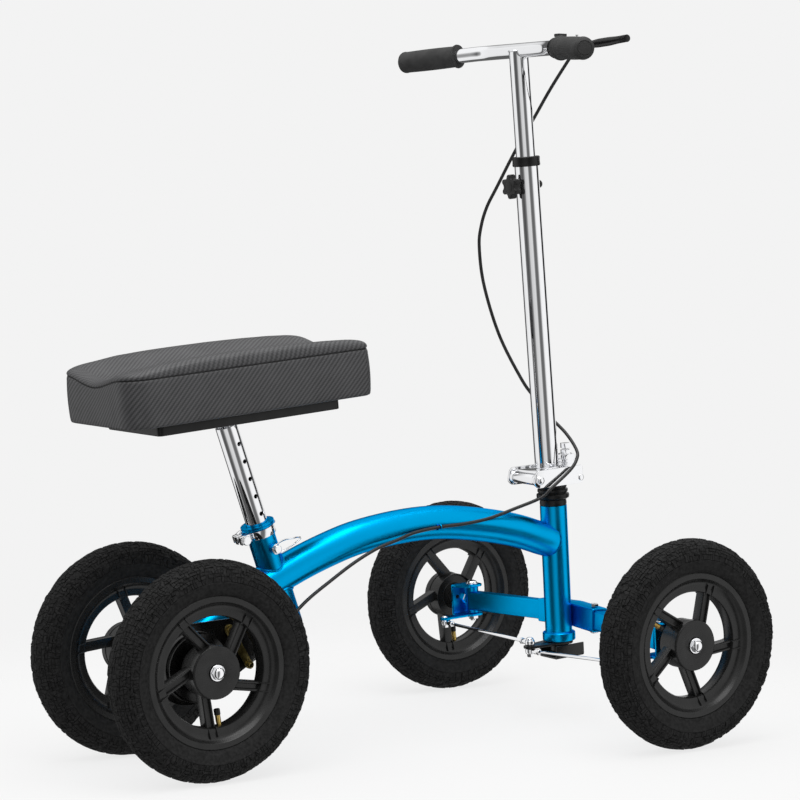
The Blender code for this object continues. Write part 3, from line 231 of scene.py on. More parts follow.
FINISH = {"blue_paint": blue_paint(), "chrome": chrome(), "pad_vinyl": vinyl(), "tyre_rubber": tyre_rubber()}
SHINE = "Specular IOR Level"
for finish_name, dark, light, rough, metal, settings in (
        ("black_steel", grey(0.003), grey(0.007), 0.28, 0.0, {SHINE: 0.34}),
        ("black_plastic", grey(0.004), grey(0.009), 0.34, 0.0, {SHINE: 0.26}),
        ("wheel_plastic", grey(0.006), grey(0.011), 0.28, 0.0, {"depth": 0.0002, SHINE: 0.32}),
        ("grip_rubber", grey(0.024), grey(0.04), 0.7, 0.0,
         {"grain": 700.0, "depth": 0.0005, "strength": 0.5, SHINE: 0.2}),
        ("inner_rubber", grey(0.012), grey(0.03), 0.7, 0.0, {}),
        ("brass", (0.45, 0.3, 0.07), (0.7, 0.52, 0.18), 0.3, 1.0, {}),
        ("zinc", (0.36, 0.28, 0.09), (0.58, 0.48, 0.2), 0.34, 1.0, {}),
        ("steel", grey(0.35), grey(0.55), 0.3, 1.0, {}),
        ("cable_jacket", grey(0.006), grey(0.014), 0.34, 0.0, {SHINE: 0.4})):
    FINISH[finish_name] = toned(finish_name, dark, light, rough, metal, **settings)


# ---------------------------------------------------------------- solids
def moved(bm, matrix):
    bmesh.ops.transform(bm, matrix=matrix, verts=bm.verts)
    return bm


def aimed(start, direction):
    turn = Vector(direction).to_track_quat("Z", "Y").to_matrix().to_4x4()
    return Matrix.Translation(start) @ turn


def eased(outline, size, steps=3):
    """The closed outline with each sharp corner cut back by size and rounded."""
    made, count = [], len(outline)
    for i in range(count):
        here = Vector(outline[i])
        back, on = Vector(outline[i - 1]) - here, Vector(outline[(i + 1) % count]) - here
        if back.length < 1e-7 or on.length < 1e-7 or back.angle(on) > math.radians(160):
            made.append(tuple(here))
            continue
        reach = min(size, back.length * 0.45, on.length * 0.45)
        a, b = here + back.normalized() * reach, here + on.normalized() * reach
        for k in range(steps + 1):
            t = k / steps
            made.append(tuple(a * (1 - t) ** 2 + here * 2 * t * (1 - t) + b * t * t))
    return made


def turn_angles(count):
    """Even angles for one whole turn."""
    return [2 * math.pi * k / count for k in range(count)]


def circle(radius, count, height=0.0, x=0.0):
    return [(radius * math.cos(a) + x, radius * math.sin(a), height) for a in turn_angles(count)]


def polar(radius, degrees):
    return radius * math.cos(math.radians(degrees)), radius * math.sin(math.radians(degrees))


def turned(profile, segments=72, axis="Z"):
    """A closed outline of (radius, height) points, turned about Z, or about Y."""
    bm = bmesh.new()
    rings = []
    for angle in turn_angles(segments):
        c, s = math.cos(angle), math.sin(angle)
        rings.append([bm.verts.new((r * c, r * s, h)) for r, h in profile])
    count = len(profile)
    for k in range(segments):
        here, there = rings[k], rings[(k + 1) % segments]
        for i in range(count):
            j = (i + 1) % count
            if max(profile[i][0], profile[j][0]) > 1e-7:
                bm.faces.new((here[i], there[i], there[j], here[j]))
    bmesh.ops.remove_doubles(bm, verts=bm.verts, dist=1e-6)
    if axis == "Y":
        moved(bm, Matrix.Rotation(math.radians(-90), 4, "X"))
    return bm


def rod(start, end, radius, segments=40, ease=0.0005):
    start, end = Vector(start), Vector(end)
    length = (end - start).length
    profile = [(0, 0), (radius - ease, 0), (radius - ease * 0.3, ease * 0.3), (radius, ease),
               (radius, length - ease), (radius - ease * 0.3, length - ease * 0.3),
               (radius - ease, length), (0, length)]
    return moved(turned(profile, segments), aimed(start, end - start))


def ring(start, end, radius, bore, segments=64, ease=0.0005):
    start, end = Vector(start), Vector(end)
    length = (end - start).length
    profile = eased([(bore, 0), (radius, 0), (radius, length), (bore, length)], ease)
    return moved(turned(profile, segments), aimed(start, end - start))


def block(low, high, ease=0.001, segments=2):
    bm = bmesh.new()
    low, high = Vector(low), Vector(high)
    size = Matrix.Diagonal((*(high - low), 1))
    bmesh.ops.create_cube(bm, size=1, matrix=Matrix.Translation((low + high) / 2) @ size)
    if ease:
        bmesh.ops.bevel(bm, geom=list(bm.edges), offset=ease, segments=segments,
                        affect="EDGES", profile=0.5)
    return bm


def plate(outline, low, high, axis="Z", ease=0.0005):
    """A flat outline between two heights along Z, or along Y, with its two rims eased."""
    bm = bmesh.new()
    if axis == "Z":
        face = bm.faces.new([bm.verts.new((a, b, low)) for a, b in outline])
        step = Vector((0, 0, high - low))
    else:
        face = bm.faces.new([bm.verts.new((a, low, b)) for a, b in outline])
        step = Vector((0, high - low, 0))
    grown = bmesh.ops.extrude_face_region(bm, geom=[face])
    bmesh.ops.translate(bm, vec=step,
                        verts=[v for v in grown["geom"] if isinstance(v, bmesh.types.BMVert)])
    if ease:
        flat = [f for f in bm.faces if len(f.verts) == len(outline)]
        rim = list(dict.fromkeys(e for f in flat for e in f.edges))
        bmesh.ops.bevel(bm, geom=rim, offset=ease, segments=2, affect="EDGES", profile=0.5)
    return bm


def arc(centre, radius, start, end, steps):
    angles = [math.radians(start + (end - start) * k / steps) for k in range(steps + 1)]
    return [(centre[0] + radius * math.cos(a), centre[1] + radius * math.sin(a)) for a in angles]


def link_outline(length, radius_a, radius_b, steps=20):
    return arc((0, 0), radius_a, -90, 90, steps) + arc((-length, 0), radius_b, 90, 270, steps)


def smooth_path(points, step):
    """Points at even steps along a smooth curve through the given ones."""
    knots = [Vector(p) for p in points]
    knots = [2 * knots[0] - knots[1], *knots, 2 * knots[-1] - knots[-2]]
    dense = []
    for i in range(1, len(knots) - 2):
        p0, p1, p2, p3 = knots[i - 1:i + 3]
        for k in range(12):
            t = k / 12
            a = 2 * p1 + (p2 - p0) * t
            b = (2 * p0 - 5 * p1 + 4 * p2 - p3) * t * t
            c = (3 * p1 - p0 - 3 * p2 + p3) * t ** 3
            dense.append((a + b + c) / 2)
    dense.append(knots[-2])
    run = [0.0]
    for a, b in zip(dense, dense[1:]):
        run.append(run[-1] + (b - a).length)
    count = max(2, round(run[-1] / step))
    made, i = [], 0
    for k in range(count + 1):
        want = run[-1] * k / count
        while i < len(run) - 2 and run[i + 1] < want:
            i += 1
        made.append(dense[i].lerp(dense[i + 1], (want - run[i]) / (run[i + 1] - run[i])))
    return made


def swept(points, radii, sides=40, closed=False, squeeze=1.0):
    """A round bar along a path whose radius is one number or one for each point."""
    points = [Vector(p) for p in points]
    count = len(points)
    if not hasattr(radii, "__len__"):
        radii = [radii] * count
    bm = bmesh.new()
    rings, across = [], None
    for i, point in enumerate(points):
        if closed:
            along = (points[(i + 1) % count] - points[i - 1]).normalized()
        else:
            along = (points[min(i + 1, count - 1)] - points[max(i - 1, 0)]).normalized()
        if across is None:
            across = along.orthogonal() if abs(along.y) > 0.9 else Vector((0, 1, 0))
        across = (across - along * across.dot(along)).normalized()
        up = along.cross(across)
        rings.append([
            bm.verts.new(point + radii[i] * (squeeze * across * math.cos(a) + up * math.sin(a)))
            for a in turn_angles(sides)
        ])
    pairs = list(zip(rings, rings[1:])) + ([(rings[-1], rings[0])] if closed else [])
    for here, there in pairs:
        for k in range(sides):
            j = (k + 1) % sides
            bm.faces.new((here[k], here[j], there[j], there[k]))
    if not closed:
        bm.faces.new(rings[0])
        bm.faces.new(rings[-1])
    return bm


def hollow_box(half_x, half_y, wall, start, end, depth, corner=0.003):
    """A square tube along Z, open at its far end to the given depth."""
    def outline(shrink):
        x, y, r = half_x - shrink, half_y - shrink, max(corner - shrink, 0.0008)
        points = []
        corners = (x - r, y - r), (r - x, y - r), (r - x, r - y), (x - r, r - y)
        for (cx, cy), first in zip(corners, (0, 90, 180, 270)):
            points += arc((cx, cy), r, first, first + 90, 5)
        return points

    bm = bmesh.new()
    levels = [(0.0006, start), (0.0, start + 0.0006), (0.0, end - 0.0006), (0.0004, end),
              (wall - 0.0003, end), (wall, end - 0.0005), (wall, end - depth)]
    loops = [[bm.verts.new((a, b, z)) for a, b in outline(shrink)] for shrink, z in levels]
    for here, there in zip(loops, loops[1:]):
        for k in range(len(here)):
            j = (k + 1) % len(here)
            bm.faces.new((here[k], here[j], there[j], there[k]))
    bm.faces.new(loops[0])
    bm.faces.new(loops[-1])
    return bm


def hexagon(start, end, across, ease=0.0008):
    """A hexagonal nut or bolt head whose corners are chamfered; across is its corner radius."""
    start, end = Vector(start), Vector(end)
    length = (end - start).length
    bm = turned([(0, 0), (across - ease, 0), (across, ease * 0.6), (across, length - ease * 0.6),
                 (across - ease, length), (0, length)], 6)
    return moved(bm, aimed(start, end - start))


def dome(start, direction, radius, height, segments=40):
    profile = [(0, 0), (radius, 0), (radius, height * 0.2)]
    profile += [(radius * math.cos(a), height * (0.2 + 0.8 * math.sin(a)))
                for a in (math.pi / 2 * k / 8 for k in range(1, 8))]
    profile.append((0, height))
    return moved(turned(profile, segments), aimed(start, direction))


def smooth_step(low, high, value):
    t = max(0.0, min(1.0, (value - low) / (high - low)))
    return t * t * (3 - 2 * t)


# ---------------------------------------------------------------- pieces
def mesh_object(name, mesh, finish):
    mesh.materials.append(FINISH[finish])
    made = bpy.data.objects.new(name, mesh)
    bpy.context.scene.collection.objects.link(made)
    return made


def piece(name, solids, finish, body, nodes=(), angle=32, matrix=None, blend=None):
    """One object from several closed solids, riding on a body and standing for CAD nodes."""
    whole = bmesh.new()
    for bm in solids:
        bmesh.ops.recalc_face_normals(bm, faces=bm.faces)
        part = bpy.data.meshes.new("part")
        bm.to_mesh(part)
        bm.free()
        whole.from_mesh(part)
        bpy.data.meshes.remove(part)
    if matrix is not None:
        moved(whole, matrix)
        if matrix.determinant() < 0:
            bmesh.ops.reverse_faces(whole, faces=whole.faces)
    mesh = bpy.data.meshes.new(name)
    whole.to_mesh(mesh)
    whole.free()
    mesh.shade_smooth()
    mesh.set_sharp_from_angle(angle=math.radians(angle))
    made = mesh_object(name, mesh, finish)
    if blend:
        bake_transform(made)
    else:
        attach(made, body)
    if nodes:
        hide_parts(*nodes)
    return made


# ---------------------------------------------------------------- frame
MAIN_TUBE_R = 0.025
ARCH = smooth_path([
    (0.316, 0, 0.2726), (0.3029, 0, 0.2764), (0.2488, 0, 0.2934), (0.1787, 0, 0.3068),
    (0.1091, 0, 0.3139), (0.0443, 0, 0.3119), (-0.0254, 0, 0.3022), (-0.0767, 0, 0.2886),
    (-0.1358, 0, 0.2673), (-0.2, 0, 0.238), (-0.26, 0, 0.2045), (-0.3404, 0, WHEEL_R),
], 0.012)


def beam_run(side):
    """From the beam's root to its outer end, just below the middle of the kingpin."""
    return Vector((KINGPIN.x, side * KINGPIN.y, KINGPIN.z - 0.002)) - BEAM_ROOT


def beam_frame(side):
    out = beam_run(side).normalized()
    forward = (Vector((1, 0, 0)) - out * out.x).normalized()
    turn = Matrix((forward, out.cross(forward), out)).transposed().to_4x4()
    return Matrix.Translation(BEAM_ROOT) @ turn


def off_arch(point):
    """Distance from the arch's surface, below zero inside it."""
    best = 1.0
    for a, b in zip(ARCH, ARCH[1:]):
        t = max(0.0, min(1.0, (point - a).dot(b - a) / (b - a).length_squared))
        best = min(best, (point - a.lerp(b, t)).length)
    return best - MAIN_TUBE_R


def weld(matrix, radius, outside, inside, bead):
    """A rippled bead where a tube about Z of the matrix enters the arch between two heights."""
    points, radii = [], []
    for k, (x, y, _) in enumerate(circle(radius, 72)):
        lo, hi = outside, inside
        for _ in range(14):
            mid = (lo + hi) / 2
            if off_arch(matrix @ Vector((x, y, mid))) < 0:
                hi = mid
            else:
                lo = mid
        points.append(matrix @ Vector((x, y, lo)))
        radii.append(bead * (1 + 0.14 * math.sin(k * 2.6)))
    return swept(points, radii, 10, closed=True)


def make_frame():
    cap = []
    first, away = ARCH[0], (ARCH[0] - ARCH[1]).normalized()
    for k in range(8, 0, -1):
        angle = math.pi / 2 * k / 8.6
        cap.append((first + away * 0.015 * math.sin(angle), MAIN_TUBE_R * math.cos(angle)))
    path = [p for p, _ in cap] + ARCH
    radii = [r for _, r in cap] + [MAIN_TUBE_R] * len(ARCH)
    head = ring((0, 0, -HEAD_LENGTH + 0.002), (0, 0, 0), HEAD_R, 0.0168)
    collar = turned(eased([(0.0168, -HEAD_LENGTH), (0.025, -HEAD_LENGTH),
                           (0.025, -HEAD_LENGTH + 0.0129), (0.0168, -HEAD_LENGTH + 0.0129)], 0.002))
    collar_bead = swept(circle(0.0207, 60, -HEAD_LENGTH + 0.0131), BEAD_R, BEAD_SIDES, closed=True)
    seat_tube = ring((0, 0, -0.158), (0, 0, -0.004), SEAT_TUBE_R, 0.0163)
    flange = turned(eased([(0.0163, 0), (0.0245, 0), (0.0245, -0.0018), (0.0232, -0.0024),
                           (0.0245, -0.0032), (0.0245, -0.005), (0.0163, -0.005)], 0.0004))
    boss = ring((0.003, -0.013, -PIN_DEPTH), (0.003, -0.0225, -PIN_DEPTH), 0.0072, 0.0046)
    solids = [swept(path, radii, 64)]
    solids += [moved(bm, STEER) for bm in (head, collar, collar_bead)]
    solids += [moved(bm, SEAT) for bm in (seat_tube, flange, boss)]
    solids.append(ring((REAR_X, -0.0505, WHEEL_R), (REAR_X, 0.0835, WHEEL_R), 0.014, 0.0066))
    solids += [weld(SEAT, SEAT_TUBE_R, start, -0.085, 0.0019) for start in (-0.01, -0.155)]
    for side in (1, -1):
        place_beam = beam_frame(side)
        solids.append(moved(hollow_box(0.0135, 0.018, 0.0027, 0.0, 0.07, 0.044), place_beam))
        seam = [(-0.0136, -0.017, 0.0014), (-0.0136, 0.017, 0.0014)]
        solids.append(moved(swept(seam, 0.0014, 10), place_beam))
    solids.append(block((0.0891, -0.033, 0.306), (0.0991, -0.02, 0.3075), 0.0005))
    piece("frame_weldment", solids, "blue_paint", "frame", ["main_frame"])

    loop = swept([(0.0941 + 0.0001 * k, -0.0286 + 0.0034 * math.cos(a), 0.3104 + 0.0034 * math.sin(a))
                  for k, a in ((k, math.radians(-110 + 320 * k / 20)) for k in range(21))], 0.0011, 10)
    strap = swept([(0.0941, -0.03, 0.3071), (0.0941, -0.0262, 0.3076)], 0.0016, 10)
    piece("cable_clip", [loop, strap], "blue_paint", "frame")

    for name, side in SIDES:
        place_beam = beam_frame(side)
        reach = beam_run(side).length
        pin = kingpin_frame(side)
        barrel = moved(ring((0, 0, -0.0215), (0, 0, 0.0205), 0.0098, 0.0053), pin)
        arm = moved(hollow_box(0.0105, 0.015, 0.0022, 0.028, reach - 0.004, 0.01), place_beam)
        piece(f"front_beam_{name}", [arm, barrel], "blue_paint", "frame", [f"beam_arm_{name}"])
        bolt = [rod((0, -0.0215, 0.055), (0, 0.0215, 0.055), 0.003),
                ring((0, side * 0.0181, 0.055), (0, side * 0.0191, 0.055), 0.0072, 0.0028),
                dome((0, side * 0.019, 0.055), (0, side, 0), 0.0062, 0.0036),
                hexagon((0, side * -0.0183, 0.055), (0, side * -0.0235, 0.055), 0.0058)]
        piece(f"sleeve_bolt_{name}", [moved(bm, place_beam) for bm in bolt], "chrome", "frame",
              [f"beam_bolt_{name}"])

    profile = [(0.0147, -0.008), (0.0165, -0.008), (0.0165, 0.0003), (0.02, 0.0003),
               (0.0206, 0.0035), (0.02, 0.009), (0.0147, 0.009)]
    piece("bearing_cup", [turned(eased(profile, 0.0006))], "black_plastic", "frame",
          ["upper_bearing"], matrix=STEER)


def make_seat_clamp():
    low, high = -0.0185, -0.0065
    middle = (low + high) / 2
    band = [polar(0.0228, a) for a in range(187, 534, 6)] + [polar(0.0203, a) for a in range(533, 186, -6)]
    solids = [plate(band, low, high)]
    for side in (1, -1):
        near, far = sorted((side * 0.0018, side * 0.0098))
        solids.append(block((-0.037, near, low), (-0.0205, far, high), 0.0012))
    solids.append(rod((-0.031, -0.015, middle), (-0.031, 0.011, middle), 0.0034))
    outline = []
    for k, a in enumerate(turn_angles(72)):
        r = 0.0064 + (0.0004 if k % 3 == 0 else -0.0002)
        outline.append((r * math.cos(a), r * math.sin(a)))
    nut = plate(outline, 0.0, 0.006)
    solids.append(moved(nut, aimed((-0.031, -0.0101, middle), (0, -1, 0))))
    piece("seat_clamp_band", [moved(bm, SEAT) for bm in solids], "chrome", "frame", ["seat_clamp"])

    pivot = SEAT @ Matrix.Translation((-0.031, 0.016, -0.0125))
    points, radii = [], []
    for k in range(25):
        t = k / 24
        a = math.radians(152 - 130 * t)
        points.append((0.031 + 0.0345 * math.cos(a), -0.016 + 0.0345 * math.sin(a), 0))
        radii.append(0.0034 - 0.001 * t if t < 0.9 else 0.0032)
    blade = swept(points, radii, 16)
    tip = dome(points[-1], Vector(points[-1]) - Vector(points[-2]), 0.0032, 0.003, 20)
    cam = rod((0, 0, -0.005), (0, 0, 0.005), 0.0044)
    piece("clamp_lever", [moved(bm, pivot) for bm in (blade, tip, cam)], "chrome", "seat_lever",
          ["seat_lever"])


def nut_with_washer(base, side):
    """A domed wheel nut on its washer, facing side along Y."""
    base = Vector(base)
    out = Vector((0, side, 0))
    return [ring(base, base + out * 0.0014, 0.0112, 0.005),
            hexagon(base + out * 0.0012, base + out * 0.0056, 0.0096),
            dome(base + out * 0.005, out, 0.0078, 0.0055)]


def make_rear_axle():
    outer = REAR_TRACK / 2 + 0.018
    solids = [rod((REAR_X, -outer, WHEEL_R), (REAR_X, outer, WHEEL_R), 0.006)]
    for side in (1, -1):
        solids += nut_with_washer((REAR_X, side * (outer + 0.0003), WHEEL_R), side)
    piece("rear_axle_shaft", solids, "chrome", "frame", ["rear_axle"])


def make_brake():
    near, far = -0.0562, -0.0526
    outline = arc((0, 0), 0.056, 92, 300, 60)
    outline += arc((0.118, 0.0156), 0.01, -60, 54, 14)
    outline += arc((0.071, 0.044), 0.015, 54, 92, 8)
    outline = [(REAR_X + a, WHEEL_R + b) for a, b in outline]
    pivot = BRAKE_ARM_PIVOT
    solids = [plate(outline, near, far, "Y", 0.0007),
              block((-0.2245, -0.068, 0.16), (-0.2195, far, 0.176), 0.0006),
              rod((pivot.x, near + 0.001, pivot.z), (pivot.x, pivot.y - 0.004, pivot.z), 0.003)]
    for x, z in (polar(0.045, degrees) for degrees in (150, 210, 270)):
        solids.append(dome((REAR_X + x, far - 0.0002, WHEEL_R + z), (0, 1, 0), 0.0035, 0.0018, 24))
    piece("brake_backing", solids, "black_steel", "frame", ["brake_plate"])

    wrap = [polar(0.0488, a) for a in range(70, 391, 5)] + [polar(0.047, a) for a in range(390, 69, -5)]
    outline = [(REAR_X + x, WHEEL_R + z) for x, z in wrap]
    piece("brake_strap", [plate(outline, -0.078, -0.064, "Y", 0.0004)], "black_steel", "frame",
          ["brake_band"])

    lean = math.radians(31.3)
    tip = 0.0606 * Vector((math.sin(lean), 0, -math.cos(lean)))
    link = plate(link_outline(0.0606, 0.007, 0.0055), -0.0016, 0.0016, "Y")
    moved(link, Matrix.Rotation(-math.pi / 2 - lean, 4, "Y"))
    arm = [link, ring((0, 0.0016, 0), (0, -0.0036, 0), 0.0066, 0.0033),
           hexagon((0, -0.0034, 0), (0, -0.0062, 0), 0.0052),
           rod((tip.x, 0.0012, tip.z), (tip.x, -0.0048, tip.z), 0.0056),
           hexagon((tip.x, -0.0046, tip.z), (tip.x, -0.0076, tip.z), 0.004)]
    piece("brake_arm_plated", arm, "zinc", "brake_arm", ["brake_arm"],
          matrix=Matrix.Translation(pivot))

    stop = Vector((-0.2218, -0.061, 0.1672))
    end = pivot + tip + Vector((0, -0.002, 0))
    out = (end - stop).normalized()
    barrel = [rod(stop - out * 0.004, stop + out * 0.007, 0.003, 24),
              hexagon(stop + out * 0.001, stop + out * 0.005, 0.0048)]
    piece("cable_adjuster", barrel, "brass", "frame")
    wire = swept([stop.lerp(end, k / 12) for k in range(13)], 0.0008, 12)
    piece("brake_inner_wire", [wire], "steel", None,
          blend=("frame", "brake_arm", stop + out * 0.007, end))

    hub = [(0.01, -0.0304), (0.046, -0.0304)]
    for k in range(8):
        y = -0.033 - 0.0027 * k
        hub += [(0.046, y), (0.0449, y - 0.0008), (0.0449, y - 0.0016), (0.046, y - 0.0022)]
    hub += [(0.046, -0.056), (0.04, -0.056), (0.04, -0.0364), (0.01, -0.0364)]
    centre = Matrix.Translation((REAR_X, -REAR_TRACK / 2, WHEEL_R)) @ Matrix.Rotation(math.pi, 4, "Z")
    piece("brake_drum_ribbed", [turned(hub, 96, "Y")], "black_steel", "wheel_rear_right",
          ["brake_drum"], matrix=centre)


# ---------------------------------------------------------------- steering and fold joint
def make_steering():
    low = PLATE_TOP - 0.004
    rings = turned(eased([
        (0.0146, 0.0095), (0.0212, 0.0095), (0.022, 0.0105), (0.0246, 0.0118), (0.025, 0.015),
        (0.0246, 0.0178), (0.0216, 0.019), (0.0216, 0.02), (0.0232, 0.0212), (0.0232, 0.0248),
        (0.0205, 0.0258), (0.0205, 0.0268), (0.0216, 0.0278), (0.0216, 0.0325), (0.0146, 0.0325),
    ], 0.0007), 96)
    piece("headset_stack", [rings], "black_plastic", "steering", ["headset_nut"], matrix=STEER)
    piece("steerer", [ring((0, 0, -0.2225), (0, 0, 0.0325), 0.0143, 0.0112)], "black_steel",
          "steering", ["steerer_tube"], matrix=STEER)
    arm = [plate(link_outline(STEER_ARM, 0.021, 0.01), low, PLATE_TOP, ease=0.0007)]
    piece("pitman_plate", arm, "black_steel", "steering", ["pitman_arm"], matrix=STEER)
    bolt = [rod((-STEER_ARM, 0, low - 0.0125), (-STEER_ARM, 0, PLATE_TOP + 0.012), 0.003),
            dome((-STEER_ARM, 0, PLATE_TOP + 0.0087), UP, 0.0058, 0.0042),
            hexagon((-STEER_ARM, 0, low - 0.0085), (-STEER_ARM, 0, low - 0.0135), 0.0055)]
    piece("pitman_bolt_set", bolt, "chrome", "steering", ["pitman_bolt"], matrix=STEER)
    foot, wall, brim = -0.233, 0.003, low - 0.0003
    outline = [(-0.022, brim), (-0.022, foot), (0.022, foot), (0.022, brim),
               (0.019, brim), (0.019, foot + wall), (-0.019, foot + wall), (-0.019, brim)]
    u_shape = plate(eased(outline, 0.004, 6), -0.022, 0.03, ease=0.0007)
    turn = Matrix(((0, 0, 1, 0), (1, 0, 0, 0), (0, 1, 0, 0), (0, 0, 0, 1)))
    piece("bracket_u", [moved(u_shape, turn)], "black_steel", "steering", ["lower_bracket"], matrix=STEER)


def make_fold_joint():
    top, bottom, front, rear = 0.0605, 0.0335, 0.0325, -0.056
    outline = [(front, bottom), (front, top - 0.002), (front - 0.002, top), (rear + 0.006, top)]
    outline += arc((FOLD_U + 0.0018, FOLD_W + 0.0048), 0.0102, 128, 180, 8)
    outline += arc((FOLD_U, FOLD_W - 0.001), 0.0108, 190, 262, 10)
    outline += [(FOLD_U + 0.012, bottom)]
    solids = [plate(outline, *sorted((side * CHEEK_OUT, side * CHEEK_IN)), "Y", 0.0009) for side in (1, -1)]
    solids.append(block((-0.03, -0.0318, bottom), (LATCH_U - 0.0085, 0.0318, bottom + 0.0035), 0.0008))
    solids.append(rod((0, 0, bottom - 0.0007), (0, 0, bottom + 0.001), 0.019, 64, 0.0003))
    for side in (1, -1):
        solids.append(dome((LATCH_U, side * 0.0348, LATCH_W), (0, side, 0), 0.005, 0.0016, 32))
    piece("fold_bracket", solids, "chrome", "steering", ["fold_base"], matrix=STEER)

    pin = [rod((0, -0.0354, 0), (0, 0.0354, 0), 0.0036)]
    for side in (1, -1):
        pin.append(ring((0, side * 0.035, 0), (0, side * 0.0362, 0), 0.0074, 0.003))
        pin.append(dome((0, side * 0.036, 0), (0, side, 0), 0.0058, 0.0034))
    piece("fold_pivot", pin, "chrome", "steering", ["fold_pin"],
          matrix=STEER @ Matrix.Translation((FOLD_U, 0, FOLD_W)))

    latch = [rod((0, -0.0125, 0), (0, 0.0125, 0), 0.0072), rod((0, -0.0349, 0), (0, 0.0349, 0), 0.0028),
             block((-0.004, -0.008, 0.002), (0.005, 0.008, 0.012), 0.0008),
             block((-0.012, -0.013, 0.009), (0.0085, 0.013, 0.019), 0.0014),
             block((-0.0105, -0.0115, 0.018), (0.0072, 0.0115, 0.0262), 0.0014),
             block((-0.0118, -0.0128, 0.025), (0.0083, 0.0128, 0.0334), 0.0014),
             ring((-0.001, 0, 0.033), (-0.001, 0, 0.0346), 0.0096, 0.004),
             rod((-0.001, 0, 0.03), (-0.001, 0, 0.049), 0.0042),
             hexagon((-0.001, 0, 0.0344), (-0.001, 0, 0.04), 0.008),
             hexagon((-0.001, 0, 0.042), (-0.001, 0, 0.05), 0.008)]
    piece("latch_block", latch, "chrome", "latch", ["fold_latch"],
          matrix=STEER @ Matrix.Translation((LATCH_U, 0, LATCH_W)))


def make_column():
    foot = [block((-0.038, -0.03, 0.0385), (0.0155, 0.03, 0.0545), 0.0012),
            block((-0.049, -0.0298, 0.0548), (0.0155, 0.0298, 0.0585), 0.0008),
            block((-0.0465, -0.029, 0.0512), (-0.02, 0.029, 0.0541), 0.0006),
            rod((FOLD_U, -0.0306, FOLD_W), (FOLD_U, 0.0306, FOLD_W), 0.0082, 48, 0.0008)]
    for side in (1, -1):
        foot.append(ring((FOLD_U, side * 0.025, FOLD_W), (FOLD_U, side * 0.0305, FOLD_W), 0.0094, 0.006))
    piece("column_base", foot, "chrome", "column", ["column_foot"], matrix=STEER)

    tube = ring((0, 0, -0.0508), (0, 0, 0.4165), 0.018, 0.0157, 96)
    base_bead = [STEER @ Vector(p) for p in circle(0.0181, 60, 0.059, -0.0058)]
    solids = [moved(tube, COLUMN), swept(base_bead, BEAD_R, BEAD_SIDES, closed=True)]
    piece("column_tube", solids, "chrome", "column", ["lower_column"])

    top = 0.4165 + 0.0015
    collar = turned(eased([
        (0.0183, top - 0.0145), (0.0203, top - 0.0145), (0.0209, top - 0.0125), (0.0205, top - 0.0072),
        (0.0209, top - 0.0015), (0.02, top), (0.0155, top), (0.0155, top - 0.0011), (0.0183, top - 0.0011),
    ], 0.0006), 96)
    piece("collar_ring", [collar], "black_plastic", "column", ["column_collar"], matrix=COLUMN)

    bolt = [rod((0.0152, 0, KNOB_HEIGHT), (0.0215, 0, KNOB_HEIGHT), 0.0038),
            ring((0.0183, 0, KNOB_HEIGHT), (0.0195, 0, KNOB_HEIGHT), 0.0072, 0.0036),
            dome((0.0192, 0, KNOB_HEIGHT), (1, 0, 0), 0.0062, 0.0066)]
    piece("bolt_head", bolt, "black_steel", "column", ["clamp_bolt"], matrix=COLUMN)

    outline = []
    for a in turn_angles(144):
        wave = math.cos(6 * a)
        radius = 0.0156 + 0.0026 * math.copysign(abs(wave) ** 0.6, wave)
        outline.append((radius * math.cos(a), radius * math.sin(a)))
    knob = [plate(outline, 0.024, 0.0358, ease=0.0014), dome((0, 0, 0.035), UP, 0.0098, 0.002),
            ring((0, 0, 0.02), (0, 0, 0.0245), 0.009, 0.004), rod((0, 0, 0.0187), (0, 0, 0.025), 0.0075),
            rod((0, 0, 0.0153), (0, 0, 0.02), 0.0038)]
    hub = COLUMN @ Matrix.Translation((0, 0, KNOB_HEIGHT)) @ Matrix.Rotation(math.radians(-90), 4, "Y")
    piece("star_knob", knob, "black_plastic", "knob", ["height_knob"], matrix=hub)


